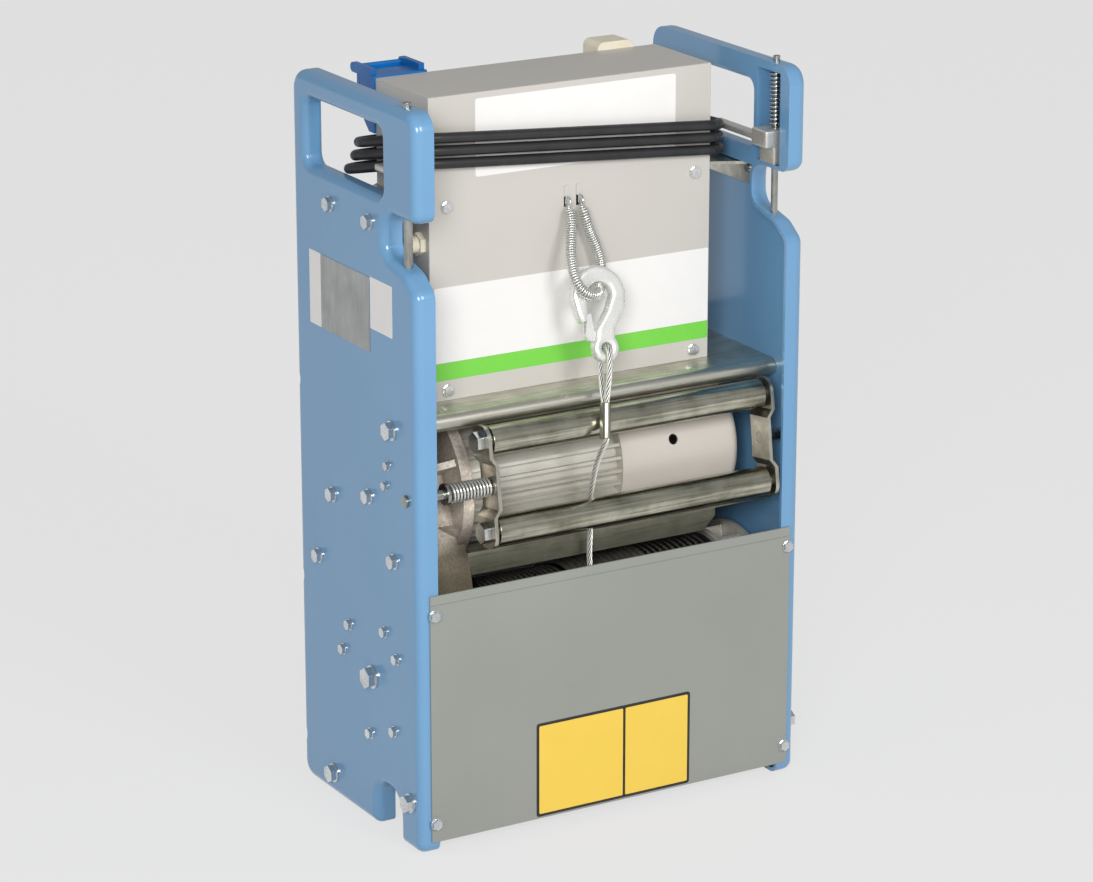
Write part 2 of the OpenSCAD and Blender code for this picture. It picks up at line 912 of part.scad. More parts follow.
module cross_plate() {
  low = cross_z - cross_apron_h;
  color("#8c8d84") from_front() {
    translate([0, cross_y + cross_t, 0]) rotate([90, 0, 0]) linear_extrude(cross_t) polygon([
      [gear_case_x, low],
      [cross_right_x - cross_corner, low],
      [cross_right_x, low + cross_corner],
      [cross_right_x, cross_z],
      [gear_case_x, cross_z]
    ]);
    block([motor_x + seat_gap, cross_y, cross_z - cross_t], [skin_x, cross_y + cross_depth, cross_z]);
  }
}

module tie_tubes() {
  color("#a7a89f") from_front() for (p = tie_seats) difference() {
    bar(-skin_x, skin_x, p[0], p[1], tie_r);
    bar(-skin_x - overrun, skin_x + overrun, p[0], p[1], m10 / 2 + hole_gap);
  }
}

module control_box() {
  front = box_front + lid_t;
  color("#cfcbc5") from_front() difference() {
    block([-box_w / 2, front, shelf_z], [box_w / 2, box_back, box_top]);
    block(
      [-box_w / 2 + box_wall, front - overrun, shelf_z + box_wall],
      [box_w / 2 - box_wall, box_back - box_wall, box_top - box_wall]
    );
    bar(-box_w / 2 - overrun, -box_w / 2 + box_wall + overrun, gland_y, gland_z, gland_r - box_wall);
  }
}

module control_box_lid() {
  half = box_w / 2 - box_wall - seat_gap;
  low = shelf_z + box_wall + seat_gap;
  high = box_top - box_wall - seat_gap;
  color("#cfcbc5") from_front() difference() {
    union() {
      block([-box_w / 2, box_front, shelf_z], [box_w / 2, box_front + lid_t, box_top]);
      block([-half, box_front, low], [half, box_front + lid_rim, high]);
    }
    block(
      [-half + box_wall, box_front + lid_t, low + box_wall],
      [half - box_wall, box_front + lid_rim + overrun, high - box_wall]
    );
    for (x = [-lid_screw_x, lid_screw_x]) for (z = lid_screw_zs)
      peg(x, z, box_front - overrun, box_front + lid_t + overrun, m6 / 2 + hole_gap);
    for (x = [-stow_slot_x, stow_slot_x])
      block(
        [x - stow_slot_w / 2, box_front - overrun, stow_slot_z - stow_slot_h / 2],
        [x + stow_slot_w / 2, box_front + lid_t + overrun, stow_slot_z + stow_slot_h / 2]
      );
  }
}

// Angle between a side panel and the control box, drawn on the left
module box_bracket() {
  low = ledge_z - bracket_drop;
  difference() {
    union() {
      block([-skin_x, bracket_front, low], [-skin_x + bracket_t, bracket_back, ledge_z]);
      block([-box_w / 2 - bracket_t, bracket_front + ledge_slant, low], [-box_w / 2, bracket_back, ledge_z]);
      translate([0, 0, ledge_z - bracket_t]) linear_extrude(bracket_t) polygon([
        [-skin_x, bracket_front],
        [-box_w / 2, bracket_front + ledge_slant],
        [-box_w / 2, bracket_back],
        [-skin_x, bracket_back]
      ]);
    }
    bolt_seats = [for (y = bracket_bolt_ys) [y, bracket_bolt_z]];
    for (p = bolt_seats)
      bar(-skin_x - overrun, -skin_x + bracket_t + overrun, p[0], p[1], m8 / 2 + hole_gap);
  }
}

module box_bracket_left() {
  color("#b9b9b2") from_front() box_bracket();
}

module box_bracket_right() {
  color("#b9b9b2") from_front() mirror([1, 0, 0]) box_bracket();
}

module contactor() {
  back = box_back - box_wall;
  color("#3a3c40") from_front() {
    block(
      [-contactor_w, back - contactor_rail_d, contactor_z - contactor_rail_h / 2],
      [contactor_w, back, contactor_z + contactor_rail_h / 2]
    );
    block(
      [-contactor_w / 2, back - contactor_d, contactor_z - contactor_h / 2 + contactor_terminal_h],
      [contactor_w / 2, back - contactor_rail_d, contactor_z + contactor_h / 2 - contactor_terminal_h]
    );
    block(
      [-contactor_w / 2, back - contactor_d + contactor_step, contactor_z - contactor_h / 2],
      [contactor_w / 2, back - contactor_rail_d, contactor_z + contactor_h / 2]
    );
  }
}

// Plate outline round the three gear axes, with a radius for each
module gear_outline(motor_r, lay_r, slow_r) {
  places = [[motor_y, motor_z, motor_r], [lay[0], lay[1], lay_r], [drum_y, drum_z, slow_r]];
  for (p = places)
    translate(flat(p)) circle(p[2]);
  for (i = [0:len(places) - 2]) {
    a = places[i];
    b = places[i + 1];
    span = flat(b) - flat(a);
    aim = atan2(span[1], span[0]);
    lean = acos((a[2] - b[2]) / norm(span));
    polygon([
      flat(a) + polar(a[2] - run_gap, aim + lean),
      flat(a) + polar(a[2] - run_gap, aim - lean),
      flat(b) + polar(b[2] - run_gap, aim - lean),
      flat(b) + polar(b[2] - run_gap, aim + lean)
    ]);
  }
}

module gearbox_cover() {
  color("#8f857b") from_front() difference() {
    along_x(-skin_x) linear_extrude(gear_cover_t)
      gear_outline(
        motor_case_r + m8,
        lay_bolt_r + m8,
        slow_gear_r + gear_gap + gear_case_wall
      );
    bar(-skin_x - overrun, gear_cover_x + overrun, lay[0], lay[1], layshaft_r + run_gap);
    bar(-skin_x - overrun, gear_cover_x + overrun, motor_y, motor_z, rotor_seat_r + run_gap);
    for (b = concat(gear_bolts, axle_bolts))
      bar(-skin_x - overrun, gear_cover_x + overrun, b[0], b[1], b[2] / 2 + hole_gap);
  }
}

module gearbox_housing() {
  lay_r = fast_gear_r + gear_gap;
  slow_r = slow_gear_r + gear_gap;
  inner_l = gear_case_l - gear_case_end;
  color("#8f857b") from_front() difference() {
    union() {
      along_x(gear_cover_x) linear_extrude(gear_case_l)
        gear_outline(motor_case_r, lay_r + gear_case_wall, slow_r + gear_case_wall);
      bar(motor_x - flange_t, motor_x, motor_y, motor_z, flange_r);
      for (a = rib_angles)
        translate([0, motor_y, motor_z]) rotate([a, 0, 0]) translate([0, 0, -rib_t / 2])
          linear_extrude(rib_t) polygon([
            [gear_cover_x + gear_case_end, 0],
            [motor_x - flange_t, 0],
            [motor_x - flange_t, flange_r - flange_rim],
            [gear_cover_x + gear_case_end, motor_case_r + gear_gap]
          ]);
    }
    along_x(gear_cover_x - overrun) linear_extrude(inner_l + overrun)
      gear_outline(motor_case_r - gear_case_wall, lay_r, slow_r);
    bar(gear_cover_x, gear_case_x - panel_wall, lay[0], lay[1], layshaft_r + run_gap);
    bar(gear_cover_x, motor_x + overrun, motor_y, motor_z, rotor_shaft_r + run_gap);
    bar(gear_cover_x, gear_case_x + overrun, drum_y, drum_z, sleeve_r + run_gap);
  }
}

module motor_housing() {
  color("#b4b2ab") from_front() difference() {
    union() {
      bar(motor_x, shield_x, motor_y, motor_z, motor_wall_r);
      for (i = [0:fin_count - 1])
        translate([motor_x, motor_y, motor_z]) rotate([360 * i / fin_count, 0, 0])
          translate([0, 0, -fin_t / 2]) cube([motor_l - cowl_overlap, fin_r, fin_t]);
      bar(cowl_x, shield_x, motor_y, motor_z, cowl_r - cowl_wall - run_gap);
    }
    bar(motor_x - overrun, shield_x - shield_t, motor_y, motor_z, stator_r + run_gap);
    bar(motor_x, shield_x + overrun, motor_y, motor_z, rotor_shaft_r + run_gap);
  }
}

module motor_stator() {
  color("#70685e") from_front() difference() {
    bar(motor_x + stator_in, motor_x + stator_in + stator_l, motor_y, motor_z, stator_r);
    bar(motor_x, shield_x, motor_y, motor_z, rotor_r + air_gap);
  }
}

module fan_cowl() {
  edge_steps_fine = 8;
  outer = [
    for (k = [0:edge_steps_fine])
    [cowl_r - cowl_edge_r, cowl_l - cowl_edge_r] + polar(cowl_edge_r, 90 * k / edge_steps_fine)
  ];
  inner_edge = cowl_edge_r - cowl_wall;
  inner = [
    for (k = [edge_steps_fine:-1:0])
    [cowl_r - cowl_edge_r, cowl_l - cowl_edge_r] + polar(inner_edge, 90 * k / edge_steps_fine)
  ];
  color("#c9c2ba") from_front() difference() {
    translate([cowl_x, motor_y, motor_z]) rotate([0, 90, 0]) rotate_extrude() polygon(concat(
      [[cowl_r - cowl_wall, 0], [cowl_r, 0]],
      outer,
      [[0, cowl_l], [0, cowl_l - cowl_wall]],
      inner
    ));
    for (i = [0:cowl_slot_count - 1])
      translate([cowl_x + cowl_l - cowl_wall - overrun, motor_y, motor_z])
        rotate([360 * i / cowl_slot_count, 0, 0])
          translate([0, cowl_slot_in_r, -cowl_slot_w / 2])
            cube([cowl_wall + 2 * overrun, cowl_slot_out_r - cowl_slot_in_r, cowl_slot_w]);
    translate([cowl_x + cowl_hole_in, motor_y, motor_z]) rotate([cowl_hole_angle, 0, 0])
      peg(0, 0, cowl_r / 2, cowl_r + overrun, cowl_hole_r);
  }
}

module drum_axle() {
  color("#9c9c98") from_front() difference() {
    union() {
      bar(gear_cover_x, skin_x, drum_y, drum_z, axle_r);
      bar(sleeve_end_x - seat_gap - axle_collar_w, sleeve_end_x - seat_gap, drum_y, drum_z, axle_collar_r);
      bar(flange_end_x + seat_gap, skin_x, drum_y, drum_z, axle_collar_r);
    }
    bar(gear_cover_x - overrun, gear_cover_x + axle_bolt_l + overrun, drum_y, drum_z, m12 / 2 + hole_gap);
    bar(skin_x - axle_bolt_l - overrun, skin_x + overrun, drum_y, drum_z, m12 / 2 + hole_gap);
  }
}

module slack_rope_switch() {
  color("#2f3338") from_front() difference() {
    union() {
      block(
        [-skin_x, switch_y, switch_z],
        [-skin_x + switch_w, switch_y + switch_d, switch_z + switch_h]
      );
      bar(
        -skin_x + switch_w / 2, -skin_x + switch_w + switch_lever_l,
        switch_y + switch_lever_r, switch_z + switch_lever_r, switch_lever_r
      );
    }
    for (p = switch_bolts)
      bar(-skin_x - overrun, -skin_x + switch_w + overrun, p[0], p[1], m5 / 2 + hole_gap);
  }
}

module mains_inlet() {
  back = box_back;
  high = inlet_z + inlet_h;
  color("#0b5fb5") from_front() difference() {
    union() {
      translate([inlet_x - inlet_w / 2, 0, 0]) rotate([90, 0, 90]) linear_extrude(inlet_w) polygon([
        [back, inlet_z],
        [back + inlet_low_d, inlet_z],
        [inlet_face - inlet_low_d, inlet_axis_z - inlet_low_d],
        [inlet_face - inlet_low_d, high],
        [back, high]
      ]);
      peg(inlet_x, inlet_axis_z, inlet_face - inlet_d / 2, inlet_face, inlet_collar_r);
      for (x = [inlet_x - inlet_w / 2, inlet_x + inlet_w / 2 - inlet_ear_t]) {
        block(
          [x, back + inlet_low_d / 2, inlet_hinge_z - inlet_ear_r],
          [x + inlet_ear_t, inlet_hinge_y, inlet_hinge_z + inlet_ear_r]
        );
        bar(x, x + inlet_ear_t, inlet_hinge_y, inlet_hinge_z, inlet_ear_r);
      }
    }
    peg(inlet_x, inlet_axis_z, inlet_face - inlet_bore_depth, inlet_face + overrun, inlet_bore_r);
    bar(
      inlet_x - inlet_w, inlet_x + inlet_w,
      inlet_hinge_y, inlet_hinge_z, inlet_hinge_r + run_gap
    );
  }
  color("silver") from_front() for (a = [90, 210, 330]) {
    at = polar(inlet_pin_circle, a);
    floor_y = inlet_face - inlet_bore_depth;
    peg(inlet_x + at[0], inlet_axis_z + at[1], floor_y, floor_y + inlet_pin_l, inlet_pin_r);
  }
}

module inlet_lid() {
  low = inlet_face + inlet_lid_gap;
  arm = inlet_w / 2 - inlet_ear_t - seat_gap;
  color("#0b5fb5") from_front() {
    peg(inlet_x, inlet_axis_z, low, low + inlet_lid_t, inlet_lid_r);
    block(
      [inlet_x - inlet_tab_w / 2, low, inlet_axis_z - inlet_lid_r - inlet_tab_h],
      [inlet_x + inlet_tab_w / 2, low + inlet_lid_t, inlet_axis_z]
    );
    block(
      [inlet_x - arm, low, inlet_axis_z + inlet_tab_w / 2],
      [inlet_x + arm, low + inlet_lid_t, inlet_hinge_z]
    );
    bar(inlet_x - inlet_w / 2, inlet_x + inlet_w / 2, inlet_hinge_y, inlet_hinge_z, inlet_hinge_r);
  }
}

module control_socket() {
  low = [socket_x - socket_w / 2, socket_z];
  high = [socket_x + socket_w / 2, socket_z + socket_h];
  color("#e4dcc8") from_front() {
    translate([0, box_back + socket_d, 0]) rotate([90, 0, 0]) linear_extrude(socket_d)
      polygon(rounded([
        [low[0], low[1], socket_r],
        [high[0], low[1], socket_r],
        [high[0], high[1], socket_r],
        [low[0], high[1], socket_r]
      ]));
    peg(
      socket_x, socket_z + socket_h / 2,
      box_back + socket_d, box_back + socket_d + socket_cap_l, socket_cap_r
    );
  }
}

module cable_gland() {
  face = -box_w / 2;
  color("#e8ddc4") from_front() {
    translate([face - gland_hex_l, gland_y, gland_z]) rotate([0, 90, 0])
      cylinder(h = gland_hex_l, d = gland_hex, $fn = 6);
    bar(face - gland_l, face - gland_hex_l, gland_y, gland_z, gland_r);
  }
}

// Turns of the cable round the control box: one loop of points, then the rise along the turns
cable_low_y = box_front - cable_face;
cable_high_y = box_back + cable_face;
cable_loop_shares = [
  [-0.37, 1], [0.37, 1],
  [0.926, 1], [0.997, 0.982], [1.057, 0.93], [1.097, 0.852], [1.111, 0.76],
  [1.111, 0.24], [1.097, 0.148], [1.057, 0.07], [0.997, 0.018], [0.926, 0],
  [0.37, 0], [-0.37, 0],
  [-0.926, 0], [-1.025, 0.028], [-1.086, 0.12], [-1.111, 0.24], [-1.123, 0.384],
  [-1.173, 0.528], [-1.228, 0.656], [-1.241, 0.784], [-1.185, 0.912], [-1.049, 0.984]
];
function cable_at(share, turn) = [
  (share[0] < -1 ? -1 + (share[0] + 1) * (1 - cable_tuck_share * turn) : share[0]) * box_w / 2,
  cable_low_y + share[1] * (cable_high_y - cable_low_y)
];
function cable_rise(p, i) =
  let (front = (cable_high_y - p[1]) / (cable_high_y - cable_low_y))
  cable_z + cable_pitch * i / cable_rings + front * (cable_front_rise - cable_left_share * p[0]);
cable_points = [
  for (i = [0:cable_turns * cable_rings])
  let (p = cable_at(cable_loop_shares[i % cable_rings], floor(i / cable_rings)))
  [p[0], p[1], cable_rise(p, i)]
];
echo(cable_least_gap = least_gap(cable_points, 12, cable_dia / 2));

module control_cable() {
  color("#1c1c1e") from_front() loft(tube_rings(cable_points, cable_dia / 2, cable_sides, [0, 0, 1]));
}

function along_route(v, steps) = [for (i = [0:(len(v) - 1) * steps]) curve(v, i / steps)];

module cable_leads() {
  color("#1c1c1e") from_front() {
    loft(tube_rings(along_route(gland_route, 1), cable_dia / 2, lead_sides, [0, 0, 1]));
    loft(tube_rings(along_route(pendant_route, 2), cable_dia / 2, lead_sides, [0, 1, 0]));
  }
}

button_zs = [for (i = [0:2]) pendant_z + pendant_h / 2 + (i - 1) * button_gap];
pendant_back = pendant_y + pendant_d;

module pendant_body() {
  half = pendant_w / 2;
  color("#f0b81c") from_front() difference() {
    union() {
      translate([pendant_x, 0, pendant_z]) linear_extrude(pendant_h) polygon(rounded([
        [-half, pendant_y, pendant_r],
        [half, pendant_y, pendant_r],
        [half, pendant_back, pendant_r],
        [-half, pendant_back, pendant_r]
      ]));
      translate([pendant_x, pendant_y + pendant_d / 2, pendant_z + pendant_h])
        cylinder(h = boss_h, r = boss_r);
    }
    for (z = button_zs)
      peg(pendant_x, z, pendant_back - button_bore, pendant_back + overrun, button_r + run_gap);
  }
}

module pendant_holder() {
  half = pendant_w / 2 + holder_side_gap;
  low = pendant_z - seat_gap - holder_t;
  lip = pendant_back + holder_side_gap;
  color("#a7a89f") from_front() {
    block([pendant_x - half, box_back, low], [pendant_x + half, box_back + holder_t, low + holder_back_h]);
    block([pendant_x - half, box_back, low], [pendant_x + half, lip + holder_t, low + holder_t]);
    block([pendant_x - half, lip, low], [pendant_x + half, lip + holder_t, low + holder_lip]);
    for (x = [pendant_x - half - holder_t, pendant_x + half])
      block([x, box_back, low], [x + holder_t, lip + holder_t, low + holder_lip]);
  }
}

module button(z, r, head) {
  peg(pendant_x, z, pendant_back - button_stem, pendant_back + button_reach, button_r);
  if (head > 0)
    peg(pendant_x, z, pendant_back + button_reach, pendant_back + button_reach + head, r);
}

module down_button() {
  color("#26282b") from_front() button(button_zs[0], button_r, 0);
}

module up_button() {
  color("#f2f2ee") from_front() button(button_zs[1], button_r, 0);
}

module stop_button() {
  color("#c8202a") from_front() button(button_zs[2], stop_r, stop_head);
}

// Wire of the stow spring: it winds round the loop and draws in to the line at both ends
stow_steps = stow_turns * 8;
stow_core = [
  for (i = [0:stow_steps]) on_line(curve(stow_route, (len(stow_route) - 1) * i / stow_steps))
];
stow_plane = unit([2, -cos(line_lean), sin(line_lean)]);
function stow_out(i) =
  let (
    t = way(stow_core, i),
    e = unit(stow_plane - t * (stow_plane * t)),
    f = cross(t, e),
    a = 360 * i / 8
  )
  e * cos(a) + f * sin(a);
function ease(u) = let (v = max(0, min(1, u))) v * v * (3 - 2 * v);
function stow_reach(i) =
  stow_r * ease(i / stow_steps / stow_ease_share) * ease((1 - i / stow_steps) / stow_ease_share);
stow_outs = [for (i = [0:stow_steps]) stow_out(i)];
stow_points = [for (i = [0:stow_steps]) stow_core[i] + stow_outs[i] * stow_reach(i)];
echo(stow_least_gap = least_gap(stow_points, 6, stow_wire / 2));

module stow_spring() {
  color("#b8b8b4") from_front() loft(wire_rings(stow_points, stow_outs, stow_wire / 2, 6));
}

rope_points = concat(
  along_route(rope_route, 1),
  [for (p = along_route(eye_route, 2)) on_line(p)]
);

module hoist_rope() {
  color("#a9a9a4") from_front() loft(tube_rings(rope_points, rope_dia / 2, rope_sides, [1, 0, 0]));
}

// Frame of the hook's line: local X stays, local Y runs behind, local Z runs along the line
module hook_line() {
  translate([0, line_y, line_z]) rotate([-line_lean, 0, 0]) children();
}

module rope_ferrule() {
  half = (ferrule_w - ferrule_t) / 2;
  color("#b5b5ae") from_front() hook_line() translate([rope_foot_x, 0, 0]) rotate([0, atan(rope_lean_share), 0]) {
    block([-ferrule_t / 2, -half, 0], [ferrule_t / 2, half, ferrule_l]);
    for (y = [-half, half])
      translate([0, y, 0]) cylinder(h = ferrule_l, r = ferrule_t / 2);
  }
}

// Plate drawn across and along the hook's line, centred on its plane
module hook_plate(t) {
  translate([0, t / 2, 0]) rotate([90, 0, 0]) linear_extrude(t) children();
}

module lifting_hook() {
  mid = (bowl_r + bowl_in_r) / 2;
  tip_w = bowl_w - tip_drop;
  color("#c4c4c0") from_front() hook_line() translate([hook_x, 0, 0]) difference() {
    union() {
      hook_plate(hook_t) {
        intersection() {
          difference() {
            translate([bowl_x, bowl_w]) circle(bowl_r);
            translate([bowl_x, bowl_w]) circle(bowl_in_r);
          }
          translate([bowl_x - bowl_r, bowl_w]) square([2 * bowl_r, bowl_r]);
        }
        polygon([
          [bowl_x - bowl_r, bowl_w],
          [bowl_x - bowl_r + eye_hole_r / 3, tip_w + eye_hole_r],
          [bowl_x - mid - eye_hole_r / 3, tip_w],
          [bowl_x - mid + eye_hole_r / 2, tip_w + eye_hole_r / 2],
          [bowl_x - bowl_in_r, bowl_w]
        ]);
        polygon([
          [bowl_x + bowl_in_r, bowl_w],
          [bowl_x + eye_hole_r, bowl_w - bowl_in_r],
          [-eye_hole_r, eye_w + eye_r + eye_hole_r],
          [-eye_r + eye_hole_r / 2, eye_w + eye_hole_r],
          [eye_r - eye_hole_r / 2, eye_w + eye_hole_r],
          [eye_hole_r * 2, eye_w + eye_r + eye_hole_r],
          [bowl_x + bowl_r - eye_hole_r / 2, bowl_w - bowl_in_r],
          [bowl_x + bowl_r, bowl_w]
        ]);
        translate([0, eye_w]) circle(eye_r);
      }
      hook_plate(latch_width - 2 * latch_t - 2 * seat_gap)
        translate([latch_x, eye_w + latch_rise]) circle(latch_ear_r);
      hook_plate(latch_width - 2 * latch_t - 2 * seat_gap)
        polygon([
          [latch_x, eye_w + latch_rise - latch_ear_r],
          [-eye_hole_r, eye_w + latch_rise - latch_ear_r],
          [-eye_hole_r / 2, eye_w + latch_rise + latch_ear_r],
          [latch_x, eye_w + latch_rise + latch_ear_r]
        ]);
    }
    translate([0, hook_t, eye_w]) rotate([90, 0, 0]) cylinder(h = 2 * hook_t, r = eye_hole_r);
    translate([latch_x, hook_t, eye_w + latch_rise]) rotate([90, 0, 0])
      cylinder(h = 2 * hook_t, r = latch_pin_r + run_gap);
  }
}

// Safety latch: two cheeks on a pin, closed towards the hook's tip
module hook_latch() {
  low = eye_w + latch_rise;
  color("#b0b0aa") from_front() hook_line() translate([hook_x, 0, 0]) {
    for (y = [-latch_width / 2, latch_width / 2 - latch_t])
      translate([0, y + latch_t, 0]) rotate([90, 0, 0]) linear_extrude(latch_t) {
        translate([latch_x, low]) circle(latch_ear_r);
        polygon([
          [latch_x - latch_ear_r, low],
          [latch_x + latch_ear_r, low],
          [latch_x - latch_reach_x + latch_ear_r / 2, low + latch_reach],
          [latch_x - latch_reach_x - latch_ear_r / 2, low + latch_reach]
        ]);
      }
    translate([latch_x, latch_width / 2, low]) rotate([90, 0, 0])
      cylinder(h = latch_width, r = latch_pin_r);
    block(
      [latch_x - latch_reach_x - latch_ear_r / 2, -latch_width / 2, low + latch_reach - latch_t],
      [latch_x - latch_reach_x + latch_ear_r / 2, latch_width / 2, low + latch_reach]
    );
  }
}

module drum_shell() {
  color("#8b8b86") from_front() difference() {
    union() {
      bar(-drum_left_x, drum_right_x, drum_y, drum_z, drum_r);
      bar(-drum_left_x - drum_disc_t, -drum_left_x, drum_y, drum_z, drum_disc_r);
      bar(sleeve_end_x, -drum_left_x, drum_y, drum_z, sleeve_r);
      bar(band_x, drum_right_x, drum_y, drum_z, band_r);
    }
    bar(-drum_left_x, drum_right_x + overrun, drum_y, drum_z, drum_r - drum_tube_wall);
    bar(sleeve_end_x - overrun, drum_right_x, drum_y, drum_z, bush_r);
  }
}

module drum_flange() {
  x = drum_right_x;
  color("#8f8a80") from_front() difference() {
    union() {
      bar(x, x + flange_disc_t, drum_y, drum_z, drum_flange_r - flange_step);
      bar(flange_end_x - flange_disc_t, flange_end_x, drum_y, drum_z, drum_flange_r);
      bar(x, flange_end_x, drum_y, drum_z, flange_ring_r);
      for (i = [0:flange_ribs - 1])
        translate([x, drum_y, drum_z]) rotate([360 * i / flange_ribs, 0, 0])
          translate([0, 0, -flange_rib_t / 2])
            cube([flange_w - flange_disc_t / 2, drum_flange_r - flange_step * 2, flange_rib_t]);
    }
    difference() {
      bar(x + flange_disc_t, flange_end_x + overrun, drum_y, drum_z, flange_ring_r - flange_ring_wall);
      bar(x, flange_end_x, drum_y, drum_z, flange_hub_r);
    }
    bar(x - overrun, flange_end_x + overrun, drum_y, drum_z, bush_r);
  }
}

// Upper layer of rope: one helix whose ends run straight
winding_points = [
  for (i = [0:winding_turns * winding_rings])
  let (at = polar(winding_r, 180 - 360 * i / winding_rings))
  [winding_start_x + winding_pitch * i / winding_rings, drum_y + at[0], drum_z + at[1]]
];
winding_outs = [for (p = winding_points) unit([0, p[1] - drum_y, p[2] - drum_z])];
echo(winding_least_gap = least_gap(winding_points, winding_rings / 2, rope_dia / 2));

module rope_winding() {
  color("#4a4a48") from_front() loft(wire_rings(winding_points, winding_outs, rope_dia / 2, 6));
}

module drum_bushes() {
  color("#b58a4a") from_front() for (x = [sleeve_end_x, flange_end_x - bush_l]) difference() {
    bar(x, x + bush_l, drum_y, drum_z, bush_r);
    bar(x - overrun, x + bush_l + overrun, drum_y, drum_z, axle_r + run_gap);
  }
}

// Involute spur gear outline with a tooth on the first axis
function inv(a) = tan(a) * 180 / PI - a;
function tooth_half(m, n, r) =
  let (base = m * n / 2 * cos(pressure_angle))
  90 / n - backlash / m / n * 45 + inv(pressure_angle) - inv(acos(min(1, base / r)));
module spur_gear(m, n) {
  pitch_r = m * n / 2;
  root_r = pitch_r - m * root_share;
  tip_r = pitch_r + m;
  low_r = max(pitch_r - m * flank_share, pitch_r * cos(pressure_angle));
  polygon([
    for (i = [0:n - 1])
    let (at = 360 * i / n, low = tooth_half(m, n, low_r))
    each [
      polar(root_r, at - low),
      polar(low_r, at - low),
      polar(pitch_r, at - tooth_half(m, n, pitch_r)),
      polar(tip_r, at - tooth_half(m, n, tip_r)),
      polar(tip_r, at + tooth_half(m, n, tip_r)),
      polar(pitch_r, at + tooth_half(m, n, pitch_r)),
      polar(low_r, at + low),
      polar(root_r, at + low)
    ]
  ]);
}

// Gear along X at a place, turned so that a tooth points along an angle
module gear_at(x, w, place, m, n, turn) {
  translate([x, place[0], place[1]]) rotate([turn, 0, 0]) along_x(0) linear_extrude(w) spur_gear(m, n);
}

module drum_gear() {
  turn = slow_angle + 180 + 180 / slow_gear_teeth;
  color("#8a8d90") from_front() difference() {
    gear_at(slow_x, slow_w, [drum_y, drum_z], module_slow, slow_gear_teeth, turn);
    bar(slow_x - overrun, slow_x + slow_w + overrun, drum_y, drum_z, sleeve_r);
  }
}

module layshaft() {
  color("#8a8d90") from_front() {
    bar(-skin_x + seat_gap, gear_case_x - panel_wall - seat_gap, lay[0], lay[1], layshaft_r);
    gear_at(slow_x, slow_w, lay, module_slow, slow_pinion_teeth, slow_angle);
  }
}

module layshaft_gear() {
  turn = fast_angle + 180 + 180 / fast_gear_teeth;
  color("#8a8d90") from_front() difference() {
    union() {
      gear_at(fast_x, fast_w, lay, module_fast, fast_gear_teeth, turn);
      bar(fast_x, slow_x, lay[0], lay[1], layshaft_gear_hub_r);
    }
    bar(fast_x - overrun, slow_x + overrun, lay[0], lay[1], layshaft_r);
  }
}

module rotor_shaft() {
  color("#8a8d90") from_front() {
    bar(-skin_x + seat_gap, fast_x, motor_y, motor_z, rotor_seat_r);
    gear_at(fast_x, fast_w, [motor_y, motor_z], module_fast, fast_pinion_teeth, fast_angle);
    bar(fast_x + fast_w, shield_x + fan_in + fan_w + fan_end, motor_y, motor_z, rotor_shaft_r);
  }
}

module rotor_core() {
  color("#70685e") from_front() difference() {
    bar(motor_x + stator_in, motor_x + stator_in + stator_l, motor_y, motor_z, rotor_r);
    bar(motor_x, shield_x, motor_y, motor_z, rotor_shaft_r);
  }
}

module cooling_fan() {
  x = shield_x + fan_in;
  color("#2b2c2e") from_front() difference() {
    union() {
      bar(x, x + fan_w, motor_y, motor_z, fan_hub_r);
      bar(x, x + fan_disc_t, motor_y, motor_z, fan_r);
      for (i = [0:fan_blades - 1])
        translate([x, motor_y, motor_z]) rotate([360 * i / fan_blades, 0, 0])
          translate([0, 0, -fan_blade_t / 2]) cube([fan_w - fan_blade_t / 2, fan_r - fan_blade_in, fan_blade_t]);
    }
    bar(x - overrun, x + fan_w + overrun, motor_y, motor_z, rotor_shaft_r);
  }
}

// Places of the rollers and the leaning frame of the guide: local Y runs behind, local Z along the arm
module guide_frame() {
  translate([0, guide_y, guide_z]) rotate([-guide_tilt, 0, 0]) children();
}

// Joggled bracket with its outer face on x = 0 and its waist set in towards +X
module guide_bracket() {
  t = bracket_plate_t;
  tab = bracket_tab_w / 2;
  waist = bracket_waist_w / 2;
  difference() {
    intersection() {
      translate([0, bracket_tab_w, 0]) rotate([90, 0, 0]) linear_extrude(2 * bracket_tab_w) polygon([
        [0, -bracket_half_h], [t, -bracket_half_h],
        [t, -bracket_fold_out], [t + bracket_joggle, -bracket_fold_in],
        [t + bracket_joggle, bracket_fold_in], [t, bracket_fold_out],
        [t, bracket_half_h], [0, bracket_half_h],
        [0, bracket_fold_out], [bracket_joggle, bracket_fold_in],
        [bracket_joggle, -bracket_fold_in], [0, -bracket_fold_out]
      ]);
      along_x(-overrun) linear_extrude(t + bracket_joggle + 2 * overrun) polygon(rounded([
        [-tab, -bracket_half_h, bracket_tab_r],
        [tab, -bracket_half_h, bracket_tab_r],
        [tab, -bracket_fold_out, bracket_tab_r / 2],
        [waist, -bracket_fold_in + bracket_tab_r / 2, bracket_tab_r / 2],
        [waist, bracket_fold_in - bracket_tab_r / 2, bracket_tab_r / 2],
        [tab, bracket_fold_out, bracket_tab_r / 2],
        [tab, bracket_half_h, bracket_tab_r],
        [-tab, bracket_half_h, bracket_tab_r]
      ]));
    }
    for (z = [-guide_arm, guide_arm])
      bar(-overrun, t + overrun, 0, z, axle_pin_r);
    bar(-overrun, t + bracket_joggle + overrun, 0, 0, guide_shaft_r);
  }
}

module guide_bracket_left() {
  color("#b3ae94") from_front() guide_frame() translate([-guide_left_x, 0, 0]) guide_bracket();
}

